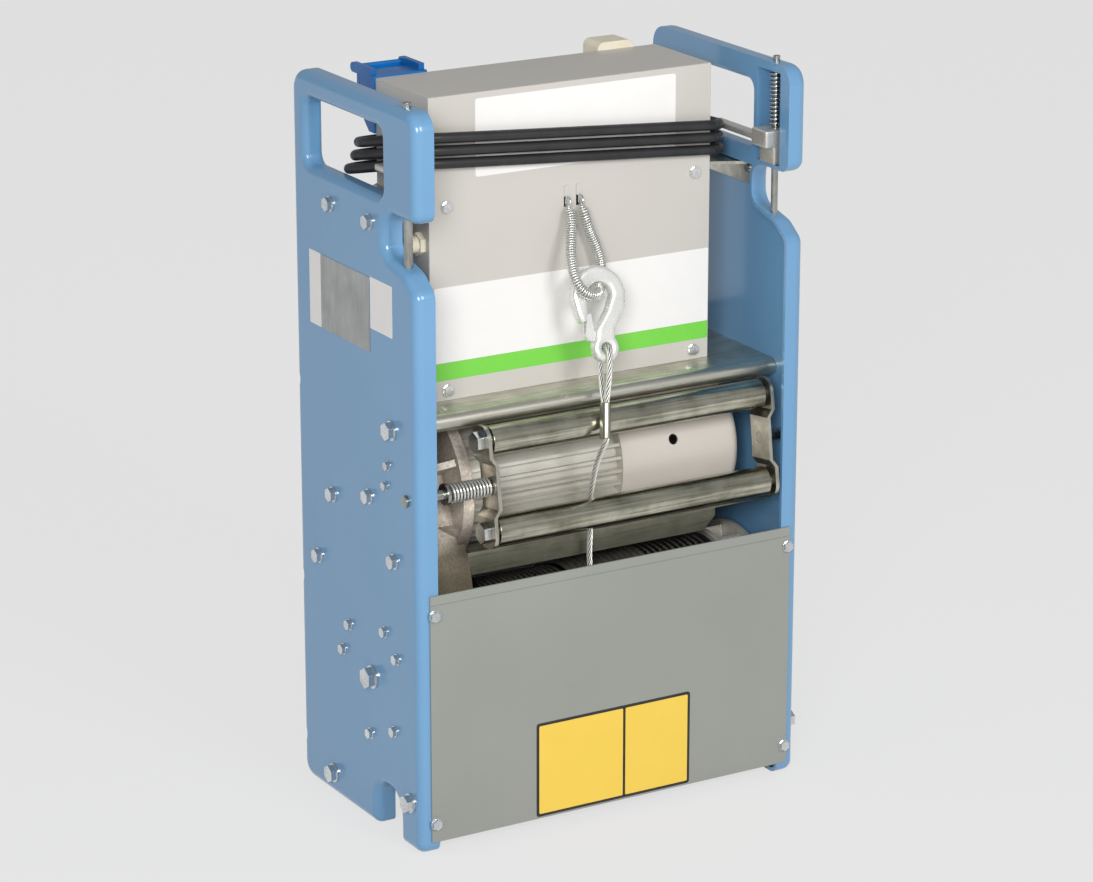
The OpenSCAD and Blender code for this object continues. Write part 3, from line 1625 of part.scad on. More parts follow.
module guide_bracket_right() {
  color("#b3ae94") from_front() guide_frame() translate([guide_right_x, 0, 0]) mirror([1, 0, 0]) guide_bracket();
}

module guide_shaft() {
  reach = bracket_plate_t + bracket_joggle;
  end = frame_w / 2 + guide_shaft_out;
  collar_x = -guide_left_x - guide_spring_l - guide_wire - guide_collar_w;
  color("#9c9c98") from_front() {
    bar(-end, -guide_left_x + reach, guide_y, guide_z, guide_shaft_r);
    bar(collar_x, collar_x + guide_collar_w, guide_y, guide_z, guide_collar_r);
    bar(guide_right_x - reach, end, guide_y, guide_z, guide_shaft_r);
  }
}

module roller_axles() {
  head = axle_pin_r * head_height_share * 2;
  color("silver") from_front() guide_frame() for (z = [-guide_arm, guide_arm]) {
    bar(-guide_left_x, guide_right_x, 0, z, axle_pin_r);
    translate([-guide_left_x - head, 0, z]) rotate([0, 90, 0])
      cylinder(h = head, d = axle_pin_r * 2 * head_across_share / cos(30), $fn = 6);
  }
}

// Tube with a bored plug in each end
module roller() {
  x = -guide_left_x + bracket_plate_t + roller_gap;
  x2 = guide_right_x - bracket_plate_t - roller_gap;
  difference() {
    bar(x, x2, 0, 0, roller_r);
    bar(x + roller_plug, x2 - roller_plug, 0, 0, roller_r - roller_wall);
    bar(x - overrun, x2 + overrun, 0, 0, axle_pin_r + run_gap);
  }
}

module upper_roller() {
  color("#a9a486") from_front() guide_frame() translate([0, 0, guide_arm]) roller();
}

module lower_roller() {
  color("#a9a486") from_front() guide_frame() translate([0, 0, -guide_arm]) roller();
}

// Coil springs: points of a helix along an axis, with straight ends along it
function helix(turns, r, l, wire) = [
  for (i = [-1:turns * 8 + 1])
  let (
    k = max(0, min(turns * 8, i)),
    at = polar(r, 360 * k / 8)
  )
  [at[0], at[1], wire + (l - 2 * wire) * k / (turns * 8) + (i - k) * wire]
];
function helix_outs(v) = [for (p = v) unit([p[0], p[1], 0])];
module coil(turns, r, l, wire) {
  points = helix(turns, r, l, wire);
  loft(wire_rings(points, helix_outs(points), wire / 2, 6));
}

guide_spring_x = -guide_left_x - guide_spring_l - guide_wire;
echo(guide_spring_least_gap = least_gap(helix(guide_turns, guide_spring_r, guide_spring_l, guide_wire), 5, guide_wire / 2));

module guide_spring() {
  color("#b8b8b4") from_front() translate([guide_spring_x + seat_gap, guide_y, guide_z]) rotate([0, 90, 0])
    coil(guide_turns, guide_spring_r, guide_spring_l + guide_wire - 2 * seat_gap, guide_wire);
}

thumb_top = thumb_z + thumb_h;
lock_spring_l = slot_top - thumb_top - 2 * seat_gap;
echo(lock_spring_least_gap = least_gap(helix(lock_turns, lock_spring_r, lock_spring_l, lock_wire), 5, lock_wire / 2));

// Lock pieces, drawn on the left
module lock_rod(dia) {
  translate([-lock_x, lock_y, rod_z]) cylinder(h = panel_h + rod_top_reach - rod_z, d = dia);
}

module lock_thumb(dia) {
  x = -lock_x - thumb_w / 2 + panel_wall / 2;
  front = lock_y - thumb_depth + thumb_back;
  paddle_z = thumb_top - paddle_drop - paddle_t;
  difference() {
    union() {
      block([x, front, thumb_z], [x + thumb_w, front + thumb_depth, thumb_top]);
      block(
        [-rim_x + seat_gap, front, paddle_z],
        [-rim_x + seat_gap + paddle_w, front + thumb_depth + paddle_l, paddle_z + paddle_t]
      );
      block(
        [x, front, thumb_z + thumb_h / 2],
        [-rim_x + seat_gap + paddle_w, front + thumb_depth, thumb_top]
      );
    }
    translate([-lock_x, lock_y, thumb_z - overrun]) cylinder(h = thumb_h + 2 * overrun, d = dia);
  }
}

module lock_spring() {
  translate([-lock_x, lock_y, thumb_top + seat_gap]) coil(lock_turns, lock_spring_r, lock_spring_l, lock_wire);
}

module left_lock_rod() {
  color("#9c9c98") from_front() lock_rod(left_rod_dia);
}

module left_lock_thumb() {
  color("#a8a39c") from_front() lock_thumb(left_rod_dia);
}

module left_lock_spring() {
  color("#b8b8b4") from_front() lock_spring();
}

module right_lock_rod() {
  color("#9c9c98") from_front() mirror([1, 0, 0]) lock_rod(right_rod_dia);
}

module right_lock_thumb() {
  color("#a8a39c") from_front() mirror([1, 0, 0]) lock_thumb(right_rod_dia);
}

module right_lock_spring() {
  color("#b8b8b4") from_front() mirror([1, 0, 0]) lock_spring();
}

left_side_panel();
right_side_panel();
front_cover();
rear_cover();
cover_screws();
panel_bolts();
shelf();
cross_plate();
tie_tubes();
control_box();
control_box_lid();
box_bracket_left();
box_bracket_right();
contactor();
gearbox_housing();
gearbox_cover();
motor_housing();
motor_stator();
fan_cowl();
drum_axle();
slack_rope_switch();
mains_inlet();
inlet_lid();
control_socket();
cable_gland();
control_cable();
cable_leads();
pendant_body();
pendant_holder();
up_button();
down_button();
stop_button();
stow_spring();
hoist_rope();
rope_ferrule();
lifting_hook();
hook_latch();
drum_shell();
drum_flange();
rope_winding();
drum_bushes();
drum_gear();
layshaft();
layshaft_gear();
rotor_shaft();
rotor_core();
cooling_fan();
guide_bracket_left();
guide_bracket_right();
guide_shaft();
roller_axles();
upper_roller();
lower_roller();
guide_spring();
left_lock_rod();
left_lock_thumb();
left_lock_spring();
right_lock_rod();
right_lock_thumb();
right_lock_spring();
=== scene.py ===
import json
import math

import bmesh
import bpy
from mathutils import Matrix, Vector

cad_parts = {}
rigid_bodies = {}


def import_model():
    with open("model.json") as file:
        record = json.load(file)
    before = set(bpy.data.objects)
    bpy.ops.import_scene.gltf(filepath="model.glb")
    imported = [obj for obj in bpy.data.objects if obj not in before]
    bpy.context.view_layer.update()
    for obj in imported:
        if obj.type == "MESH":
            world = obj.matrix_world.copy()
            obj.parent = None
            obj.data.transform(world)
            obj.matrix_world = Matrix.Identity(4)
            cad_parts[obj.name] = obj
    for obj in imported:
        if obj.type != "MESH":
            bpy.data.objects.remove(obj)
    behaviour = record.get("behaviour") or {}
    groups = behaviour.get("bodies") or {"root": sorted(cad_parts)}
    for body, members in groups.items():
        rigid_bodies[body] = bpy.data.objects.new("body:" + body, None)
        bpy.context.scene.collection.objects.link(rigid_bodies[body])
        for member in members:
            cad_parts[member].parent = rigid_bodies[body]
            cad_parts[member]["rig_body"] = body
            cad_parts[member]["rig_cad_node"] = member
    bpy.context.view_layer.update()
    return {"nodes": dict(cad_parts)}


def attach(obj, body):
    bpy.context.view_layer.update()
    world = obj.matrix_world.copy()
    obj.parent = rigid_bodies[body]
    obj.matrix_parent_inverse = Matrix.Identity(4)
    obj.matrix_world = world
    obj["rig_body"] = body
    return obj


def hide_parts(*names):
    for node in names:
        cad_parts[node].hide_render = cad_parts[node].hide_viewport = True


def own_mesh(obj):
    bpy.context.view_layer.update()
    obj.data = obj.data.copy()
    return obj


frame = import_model()
nodes = frame["nodes"]
scene = bpy.context.scene
scene.view_settings.view_transform = "Standard"
print("frame loaded:", len(nodes), "nodes")

frontRim = -125.0  # Y of the side panels' front rims, in mm


def inMetres(point):  # [across, behind the front rims, up] in mm to the frame's own metres
    return Vector((point[0], point[1] + frontRim, point[2])) / 1000


# camera: stands where the photograph was taken from
cameraSetup = {
    "place": (-1924.7, -3147.3, 1569.1),
    "aim": (0.4823, 0.8221, -0.3024),
    "lens": 128.45,
    "sensor": 36.0,
}
bpy.ops.object.camera_add(location=inMetres(cameraSetup["place"]))
camera = bpy.context.object
camera.rotation_euler = Vector(cameraSetup["aim"]).to_track_quat("-Z", "Y").to_euler()
camera.data.lens = cameraSetup["lens"]
camera.data.sensor_fit = "HORIZONTAL"
camera.data.sensor_width = cameraSetup["sensor"]
camera.data.clip_end = 40
scene.camera = camera
print("camera placed")


# materials
def linear(hexColour):  # sRGB hex to linear
    parts = [int(hexColour[i:i + 2], 16) / 255 for i in (1, 3, 5)]
    return tuple(c / 12.92 if c <= 0.04045 else ((c + 0.055) / 1.055) ** 2.4 for c in parts) + (1.0,)


def addNode(tree, kind, inputs=None, **settings):  # a socket among the inputs is linked, anything else is set
    node = tree.nodes.new(kind)
    for key, value in settings.items():
        setattr(node, key, value)
    for key, value in (inputs or {}).items():
        if isinstance(value, bpy.types.NodeSocket):
            tree.links.new(value, node.inputs[key])
        else:
            node.inputs[key].default_value = value
    return node


def perMetre(sizeInMm):  # texture scale for a feature of that size
    return 1000 / sizeInMm


def startMaterial(name, **shader):
    material = bpy.data.materials.new(name)
    material.use_nodes = True
    tree = material.node_tree
    surface = tree.nodes["Principled BSDF"]
    for key, value in shader.items():
        surface.inputs[key.replace("_", " ")].default_value = value
    place = addNode(tree, "ShaderNodeTexCoord").outputs["Object"]
    return material, tree, surface, place


def ramp(tree, fac, stops):  # stops are (position, colour)
    node = addNode(tree, "ShaderNodeValToRGB", {"Fac": fac})
    node.color_ramp.elements[0].position, node.color_ramp.elements[0].color = stops[0]
    node.color_ramp.elements[1].position, node.color_ramp.elements[1].color = stops[-1]
    for position, colour in stops[1:-1]:
        node.color_ramp.elements.new(position).color = colour
    return node.outputs["Color"]


def grey(value):
    return (value, value, value, 1.0)


def paint(name, main, shade, roughness, peel, grain, strength, coat=0.0):
    # sprayed and baked enamel: an even colour with a faint cloud in it, and the fine dimples of the spray
    material, tree, surface, place = startMaterial(name, Coat_Weight=coat, Coat_Roughness=0.08)
    cloud = addNode(tree, "ShaderNodeTexNoise", {"Vector": place, "Scale": perMetre(140), "Detail": 3.0})
    colour = ramp(tree, cloud.outputs["Fac"], [(0.3, linear(shade)), (0.7, linear(main))])
    fleck = addNode(
        tree, "ShaderNodeTexNoise", {"Vector": place, "Scale": perMetre(9), "Detail": 5.0, "Roughness": 0.7}
    )
    dust = ramp(tree, fleck.outputs["Fac"], [(0.62, grey(0.0)), (0.82, grey(0.05))])
    worn = addNode(
        tree, "ShaderNodeMix", {"Factor": dust, "A": colour, "B": linear(grain)}, data_type="RGBA"
    )
    tree.links.new(worn.outputs["Result"], surface.inputs["Base Color"])
    gloss = ramp(tree, cloud.outputs["Fac"], [(0.2, grey(roughness * 1.25)), (0.8, grey(roughness * 0.85))])
    tree.links.new(gloss, surface.inputs["Roughness"])
    dimple = addNode(tree, "ShaderNodeTexNoise", {"Vector": place, "Scale": perMetre(peel), "Detail": 2.0})
    bump = addNode(
        tree, "ShaderNodeBump", {"Height": dimple.outputs["Fac"], "Strength": strength, "Distance": 0.0004}
    )
    tree.links.new(bump.outputs["Normal"], surface.inputs["Normal"])
    return material


def metal(name, main, shade, roughness, streak, strength, spread=0.35, metallic=1.0):
    # rolled or turned metal: fine streaks along one way, and stains where the plating varies
    material, tree, surface, place = startMaterial(name, Metallic=metallic)
    stretch = addNode(tree, "ShaderNodeMapping", {"Vector": place, "Scale": streak})
    lines = addNode(
        tree, "ShaderNodeTexNoise", {"Vector": stretch.outputs["Vector"], "Scale": 1.0, "Detail": 4.0}
    )
    stain = addNode(tree, "ShaderNodeTexNoise", {"Vector": place, "Scale": perMetre(28), "Detail": 5.0})
    both = addNode(
        tree, "ShaderNodeMix", {"Factor": 0.5, "A": lines.outputs["Fac"], "B": stain.outputs["Fac"]},
        data_type="FLOAT"
    )
    colour = ramp(tree, both.outputs["Result"], [(0.36, linear(shade)), (0.62, linear(main))])
    tree.links.new(colour, surface.inputs["Base Color"])
    gloss = ramp(
        tree, both.outputs["Result"],
        [(0.3, grey(roughness * (1 + spread))), (0.7, grey(roughness * (1 - spread)))]
    )
    tree.links.new(gloss, surface.inputs["Roughness"])
    bump = addNode(
        tree, "ShaderNodeBump", {"Height": lines.outputs["Fac"], "Strength": strength, "Distance": 0.0002}
    )
    tree.links.new(bump.outputs["Normal"], surface.inputs["Normal"])
    return material


def casting(name, main, shade, roughness, grit, strength, metallic=0.75, lowShade=None):
    # sand or die casting: pits and grains, darker in the hollows; a painted shade can darken it below a height
    # in mm
    material, tree, surface, place = startMaterial(name, Metallic=metallic)
    grain = addNode(
        tree, "ShaderNodeTexNoise",
        {"Vector": place, "Scale": perMetre(grit), "Detail": 6.0, "Roughness": 0.65}
    )
    cloud = addNode(tree, "ShaderNodeTexNoise", {"Vector": place, "Scale": perMetre(45), "Detail": 4.0})
    both = addNode(
        tree, "ShaderNodeMix", {"Factor": 0.6, "A": grain.outputs["Fac"], "B": cloud.outputs["Fac"]},
        data_type="FLOAT"
    )
    colour = ramp(tree, both.outputs["Result"], [(0.38, linear(shade)), (0.6, linear(main))])
    # painted shade: the colour is multiplied darker below the given height, fading in over the given span
    if lowShade:
        height, fade, lowShadeColour = lowShade
        up = addNode(tree, "ShaderNodeSeparateXYZ", {"Vector": place}).outputs["Z"]
        share = addNode(tree, "ShaderNodeMapRange", {
            "Value": up, "From Min": (height - fade) / 1000, "From Max": height / 1000,
            "To Min": 1.0, "To Max": 0.0,
        })
        shadedLow = addNode(
            tree, "ShaderNodeMix", {"Factor": share.outputs["Result"], "A": colour, "B": linear(lowShadeColour)},
            data_type="RGBA", blend_type="MULTIPLY"
        )
        colour = shadedLow.outputs["Result"]
    tree.links.new(colour, surface.inputs["Base Color"])
    gloss = ramp(
        tree, grain.outputs["Fac"], [(0.3, grey(min(1.0, roughness * 1.2))), (0.7, grey(roughness * 0.8))]
    )
    tree.links.new(gloss, surface.inputs["Roughness"])
    bump = addNode(
        tree, "ShaderNodeBump", {"Height": grain.outputs["Fac"], "Strength": strength, "Distance": 0.0006}
    )
    tree.links.new(bump.outputs["Normal"], surface.inputs["Normal"])
    return material


def moulding(name, main, shade, roughness, grit, strength):
    # moulded plastic or rubber: spark-eroded grain, slightly uneven gloss
    material, tree, surface, place = startMaterial(name)
    cloud = addNode(tree, "ShaderNodeTexNoise", {"Vector": place, "Scale": perMetre(30), "Detail": 4.0})
    colour = ramp(tree, cloud.outputs["Fac"], [(0.35, linear(shade)), (0.65, linear(main))])
    tree.links.new(colour, surface.inputs["Base Color"])
    gloss = ramp(
        tree, cloud.outputs["Fac"], [(0.3, grey(min(1.0, roughness * 1.15))), (0.7, grey(roughness * 0.85))]
    )
    tree.links.new(gloss, surface.inputs["Roughness"])
    grain = addNode(tree, "ShaderNodeTexNoise", {"Vector": place, "Scale": perMetre(grit), "Detail": 2.0})
    bump = addNode(
        tree, "ShaderNodeBump", {"Height": grain.outputs["Fac"], "Strength": strength, "Distance": 0.0002}
    )
    tree.links.new(bump.outputs["Normal"], surface.inputs["Normal"])
    return material


blueEnamel = paint("blueEnamelOnSteel", "#6b9ac1", "#6796bd", 0.24, 2.2, "#86b0d6", 0.05, coat=0.4)
greyPaint = paint("greySheetPaint", "#91938d", "#8c8e88", 0.42, 1.6, "#9b9e97", 0.06)
shelfPaint = paint("greyTubePaint", "#8f9087", "#85867d", 0.4, 1.6, "#a5a59c", 0.06)
boxPaint = paint("lightGreyPowderCoat", "#c4c0b9", "#c0bcb5", 0.44, 1.1, "#c8c5bf", 0.10)
cowlPaint = paint("warmGreyCowlPaint", "#cbc4bb", "#c3bbb1", 0.36, 1.8, "#d6d0c8", 0.08)
crossZinc = metal("darkZincOnCrossPlate", "#b3b19f", "#807e6c", 0.34, (25, 350, 350), 0.06, metallic=0.8)
shelfZinc = metal("galvanisedShelfSheet", "#dad8cc", "#b5b3a6", 0.36, (25, 350, 350), 0.06)
rollerZinc = metal("yellowZincOnTube", "#cbc9b8", "#7c7a69", 0.23, (14, 420, 420), 0.08)
bracketZinc = metal("yellowZincOnPlate", "#cfcdc2", "#a5a397", 0.3, (300, 60, 60), 0.06)
boltZinc = metal("brightZincOnBolts", "#e6e8e8", "#c2c5c6", 0.22, (500, 500, 500), 0.05)
hookZinc = casting("brightZincOnForging", "#efefeb", "#dadad4", 0.27, 4.0, 0.10, metallic=0.5)
springZinc = metal("brightZincOnSpringWire", "#e9e9e5", "#cbcbc6", 0.24, (400, 400, 400), 0.03, metallic=0.7)
ferruleAlloy = metal("pressedFerruleAlloy", "#b9b8ac", "#929186", 0.36, (200, 200, 40), 0.06)
shaftSteel = metal("groundSteelShaft", "#b5b5b0", "#8d8d88", 0.27, (1200, 80, 80), 0.04)
ropeSteel = metal("brightRopeWire", "#f0efe8", "#dcdbd3", 0.34, (300, 300, 300), 0.04, metallic=0.5)
# rope core: a real part of the rope, coloured near-black as painted shade in the grooves between the strands
ropeCoreInGrooveShade = moulding("darkRopeCore", "#171511", "#100e0b", 0.6, 0.8, 0.15)
# the rope on the drum is the same bright rope as the hoist rope, painted dark as painted shade
shadedDrumRope = moulding("darkGreasedRope", "#5f5d56", "#403e38", 0.3, 0.8, 0.15)
drumSteel = metal("rolledDrumSteel", "#5e5d57", "#43423d", 0.42, (40, 500, 500), 0.06)
motorAlloy = casting("dieCastMotorAlloy", "#cdcac0", "#bab7ac", 0.42, 1.4, 0.14, metallic=0.35)
# gear casting: its lower part, below 326 mm, is darkened with painted shade
gearAlloy = casting(
    "sandCastGearAlloy", "#e2d7c9", "#a0958a", 0.45, 2.4, 0.45, metallic=0.35, lowShade=(326, 34, "#7d7869")
)
flangeIron = casting("castDrumIron", "#d2cfc7", "#a19d94", 0.42, 1.6, 0.30, metallic=0.5)
thumbAlloy = casting("castThumbAlloy", "#dad7cf", "#aeaaa2", 0.3, 1.2, 0.18, metallic=0.6)
bronze = metal("bearingBronze", "#b8905a", "#96733f", 0.35, (60, 600, 600), 0.04)
cableRubber = moulding("blackCableRubber", "#29292a", "#1c1c1d", 0.46, 0.8, 0.15)
bluePlastic = moulding("bluePlugPlastic", "#0668b2", "#055ca0", 0.3, 0.7, 0.08)
creamPlastic = moulding("creamSocketPlastic", "#e6dec9", "#dcd3bc", 0.42, 0.7, 0.1)
yellowPlastic = moulding("yellowPendantPlastic", "#e6b01b", "#d9a414", 0.4, 0.7, 0.12)
blackPlastic = moulding("blackPolyamide", "#27292c", "#1c1e20", 0.48, 0.7, 0.12)
whitePlastic = moulding("whitePolyamide", "#e4e4df", "#d9d9d3", 0.42, 0.7, 0.1)
redPlastic = moulding("redStopPlastic", "#c0202a", "#b01a23", 0.3, 0.7, 0.08)
whiteFilm = moulding("whiteLabelFilm", "#e8e6e3", "#e6e4e1", 0.36, 1.5, 0.03)
greenFilm = moulding("greenLabelFilm", "#76cd47", "#74cb45", 0.36, 1.5, 0.03)
yellowFilm = moulding("yellowLabelFilm", "#e8c54f", "#e6c34d", 0.36, 1.5, 0.03)
blackFilm = moulding("blackLabelFilm", "#242424", "#1a1a1a", 0.36, 1.5, 0.03)
silverFoil = metal("silverPlateFoil", "#b5b8b7", "#adb0af", 0.44, (700, 700, 30), 0.02)
print("materials made:", len(bpy.data.materials))


# small helpers for pieces
def onlyThis(piece):
    bpy.ops.object.select_all(action="DESELECT")
    piece.select_set(True)
    bpy.context.view_layer.objects.active = piece


def setMaterial(piece, material):
    piece.data.materials.clear()
    piece.data.materials.append(material)


def settle(piece, body, material=None, stands=()):
    if material:
        setMaterial(piece, material)
    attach(piece, body)
    if stands:
        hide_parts(*stands)
    return piece


def curveThrough(points, steps):  # smooth line through given points
    line = []
    last = len(points) - 1
    for i in range(last):
        a, b = points[max(i - 1, 0)], points[i]
        c, d = points[i + 1], points[min(i + 2, last)]
        for k in range(steps):
            t = k / steps
            bent = (a * 2 - b * 5 + c * 4 - d) * t * t + (b * 3 - a - c * 3 + d) * t ** 3
            line.append((b * 2 + (c - a) * t + bent) / 2)
    line.append(points[last].copy())
    return line


def lengthOf(line):
    return sum((b - a).length for a, b in zip(line, line[1:]))


def wires(name, lines, radius, resolution=2, taper=None):  # round wires along lines, made a mesh
    data = bpy.data.curves.new(name, "CURVE")
    data.dimensions = "3D"
    data.bevel_depth = radius
    data.bevel_resolution = resolution
    data.use_fill_caps = True
    for line in lines:
        spline = data.splines.new("POLY")
        spline.points.add(len(line) - 1)
        for k, (point, at) in enumerate(zip(spline.points, line)):
            point.co = (at.x, at.y, at.z, 1.0)
            if taper:  # thickness at the end, as a share of that at the start
                point.radius = 1 + (taper - 1) * k / (len(line) - 1)
    piece = bpy.data.objects.new(name, data)
    scene.collection.objects.link(piece)
    onlyThis(piece)
    bpy.ops.object.convert(target="MESH")
    piece = bpy.context.object
    bpy.ops.object.shade_smooth()
    return piece


def evenly(line, number):  # the same line with its points at even steps
    starts = [0.0]
    for a, b in zip(line, line[1:]):
        starts.append(starts[-1] + (b - a).length)
    even, seg = [], 0
    for k in range(number + 1):
        at = starts[-1] * k / number
        while seg < len(line) - 2 and starts[seg + 1] < at:
            seg += 1
        span = starts[seg + 1] - starts[seg]
        even.append(line[seg].lerp(line[seg + 1], (at - starts[seg]) / span if span else 0.0))
    return even


def strandsRound(line, count, radius, layLength, stepsPerLay):  # strand lines twisted round a rope's line
    number = max(2, int(lengthOf(line) / layLength * stepsPerLay))
    even = evenly(line, number)
    strands = [[] for _ in range(count)]
    side = None
    for k, point in enumerate(even):
        way = (even[min(k + 1, number)] - even[max(k - 1, 0)]).normalized()
        if side is None:
            side = way.orthogonal().normalized()
        side = (side - way * side.dot(way)).normalized()
        other = way.cross(side)
        for s in range(count):
            turn = math.tau * (s / count + k / stepsPerLay)
            strands[s].append(point + (side * math.cos(turn) + other * math.sin(turn)) * radius)
    return strands


# control cable: one length from the gland, three turns round the box, then to the pendant
cableRoute = {
    "diameter": 10.5,
    "boxHalf": 162.0,
    "front": 74.0,
    "back": 199.0,
    "low": 646.5,
    "pitch": 12.6,
    "frontRise": 20.0,
    "leftRise": 0.07,
    "turns": 3,
    "tuck": 0.2,
    "loopShares": [
        (-0.37, 1), (0.37, 1),
        (0.926, 1), (0.997, 0.982), (1.057, 0.93), (1.097, 0.852), (1.111, 0.76),
        (1.111, 0.24), (1.097, 0.148), (1.057, 0.07), (0.997, 0.018), (0.926, 0),
        (0.37, 0), (-0.37, 0),
        (-0.926, 0), (-1.025, 0.028), (-1.086, 0.12), (-1.111, 0.24), (-1.123, 0.384),
        (-1.173, 0.528), (-1.228, 0.656), (-1.241, 0.784), (-1.185, 0.912), (-1.049, 0.984),
    ],
    "fromGland": [
        (-180.4, 100, 600), (-191, 100, 600), (-201, 107, 601), (-206, 120, 602), (-207, 140, 605),
        (-205, 162, 609), (-198, 181, 614), (-184, 197, 621), (-164, 205, 628), (-140, 207, 635),
        (-115, 204, 641), (-85, 201, 645),
    ],
    "toPendant": [
        (-40, 200, 685), (-18, 205, 684), (2, 211, 680), (18, 216, 669), (26, 219, 656),
        (28, 220, 645), (28, 220, 636.4),
    ],
}


def cableTurns(route):
    points = []
    loop = route["loopShares"]
    for i in range(route["turns"] * len(loop) + 1):
        across, share = loop[i % len(loop)]
        if across < -1:  # each turn lies closer on the left
            across = -1 + (across + 1) * (1 - route["tuck"] * (i // len(loop)))
        x = across * route["boxHalf"]
        rise = (1 - share) * (route["frontRise"] - route["leftRise"] * x)
        y = route["front"] + share * (route["back"] - route["front"])
        points.append((x, y, route["low"] + route["pitch"] * i / len(loop) + rise))
    return points


cablePoints = [
    inMetres(p) for p in cableRoute["fromGland"] + cableTurns(cableRoute) + cableRoute["toPendant"]
]
cableLine = curveThrough(cablePoints, 4)
cable = wires("controlCable", [cableLine], cableRoute["diameter"] / 2000, resolution=6)
settle(cable, "frame", cableRubber, ("control_cable", "cable_leads"))
bendGuard = {"radius": 8.5, "taper": 0.7, "step": 2.5, "glandReach": 20.0, "pendantReach": 30.0}
for end, line in (("gland", cableLine), ("pendant", cableLine[::-1])):
    steps = round(bendGuard[end + "Reach"] / bendGuard["step"])
    fine = evenly(line, round(lengthOf(line) * 1000 / bendGuard["step"]))[:steps + 1]
    sleeve = wires(
        end + "BendGuard", [fine], bendGuard["radius"] / 1000, resolution=5, taper=bendGuard["taper"]
    )
    settle(sleeve, "frame", cableRubber)
print("control cable:", round(lengthOf(cableLine), 3), "m")

# hook line: leans back from the ferrule to the slots in the box lid
hookLine = {"y": 1.5, "z": 402.0, "slotY": 83.0, "slotZ": 631.0}
lean = math.atan((hookLine["slotY"] - hookLine["y"]) / (hookLine["slotZ"] - hookLine["z"]))


def onHookLine(point):  # [across, behind, along] in mm to metres
    return inMetres((
        point[0],
        hookLine["y"] + point[2] * math.sin(lean) + point[1] * math.cos(lean),
        hookLine["z"] + point[2] * math.cos(lean) - point[1] * math.sin(lean),
    ))


# hoist rope: from the drum behind the lower roller to the ferrule, then round the hook's eye
ropeRoute = {
    "diameter": 6.0,
    "strands": 6,
    "strandShares": (2.3, 0.7),  # distance from the middle and thickness, in thirds of the rope's radius
    "coreShare": 1.9,
    "lay": 38.0,
    "fromDrum": [
        (-13, 16, 160), (-13, 16, 175), (-13, 18, 195), (-12, 22, 220), (-11, 26, 245), (-10, 31, 270),
        (-8, 33, 295), (-7.5, 34.5, 315), (-7.5, 33.5, 333), (-8, 28, 350), (-9.5, 19, 370), (-10.4, 10, 384),
        (-11, 2, 395),
    ],
    "foot": -10.0,
    "lean": 0.2,
    "roundEye": [  # behind the hook's line and along it
        (-3, 0), (-3, 12), (-3, 24), (-3, 36), (-6, 50), (-8.6, 64), (-8.9, 78), (-7.6, 86), (0, 91.4),
        (7.6, 86), (8.9, 78), (8.6, 64), (6, 50), (3, 37), (3, 20),
    ],
}
ropePoints = [inMetres(p) for p in ropeRoute["fromDrum"]] + [
    onHookLine((ropeRoute["foot"] + ropeRoute["lean"] * w, n, w)) for n, w in ropeRoute["roundEye"]
]
ropeLine = curveThrough(ropePoints, 5)
strandRadius = ropeRoute["diameter"] / 3 / 2000
# the core shows between the strands as painted shade in the grooves
core = wires("hoistRopeCore", [ropeLine], ropeRoute["coreShare"] * strandRadius)
setMaterial(core, ropeCoreInGrooveShade)
strandRing, strandShare = ropeRoute["strandShares"]
rope = wires(
    "hoistRope",
    strandsRound(ropeLine, ropeRoute["strands"], strandRing * strandRadius, ropeRoute["lay"] / 1000, 14),
    strandShare * strandRadius
)
setMaterial(rope, ropeSteel)
core.select_set(True)
bpy.ops.object.join()
settle(rope, "frame", stands=("hoist_rope",))
print("hoist rope:", round(lengthOf(ropeLine), 3), "m in view")

# rope winding: two layers, half sunk in the CAD drum where its own surface stands in for them; the bright rope
# is coloured dark here as painted shade
windingSetup = {"axis": (97.0, 160.0), "rings": 36, "lay": 40.0, "strandRing": 2}
layers = {  # name: (turns, pitch, first turn, radius)
    "ropeWinding": (23, 7.3, -5.0, 81.3),
    "ropeLowerLayer": (17, 6.1, -110.0, 75.6),
}
for name, (turns, pitch, start, radius) in layers.items():
    line = []
    for i in range(turns * windingSetup["rings"] + 1):
        turn = math.pi - math.tau * i / windingSetup["rings"]
        line.append(inMetres((
            start + pitch * i / windingSetup["rings"],
            windingSetup["axis"][0] + radius * math.cos(turn),
            windingSetup["axis"][1] + radius * math.sin(turn),
        )))
    strands = strandsRound(
        line, ropeRoute["strands"], windingSetup["strandRing"] * strandRadius, windingSetup["lay"] / 1000, 7
    )
    layer = wires(name, strands, strandRadius, resolution=1)
    settle(layer, "drum", shadedDrumRope, ("rope_winding",) if name == "ropeWinding" else ())
    print(name + ":", round(lengthOf(line), 3), "m on the drum")


# springs
def helixLine(turns, radius, length, wire, steps=18):  # along Z from 0, ends straight along it
    line = []
    for i in range(-1, turns * steps + 2):
        k = max(0, min(turns * steps, i))
        turn = math.tau * k / steps
        z = wire + (length - 2 * wire) * k / (turns * steps) + (i - k) * wire
        line.append(Vector((radius * math.cos(turn), radius * math.sin(turn), z)))
    return line


lockSpring = {"x": 210.0, "y": 37.0, "low": 686.6, "high": 744.7, "radius": 6.6, "wire": 1.7, "turns": 13}
lockCoil = helixLine(
    lockSpring["turns"], lockSpring["radius"], lockSpring["high"] - lockSpring["low"], lockSpring["wire"]
)
for side, sign in (("left", -1), ("right", 1)):
    line = [
        inMetres((sign * lockSpring["x"] + p.x, lockSpring["y"] + p.y, lockSpring["low"] + p.z))
        for p in lockCoil
    ]
    spring = wires(side + "LockSpringWire", [line], lockSpring["wire"] / 2000)
    settle(spring, "frame", boltZinc, (side + "_lock_spring",))
    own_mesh(spring)

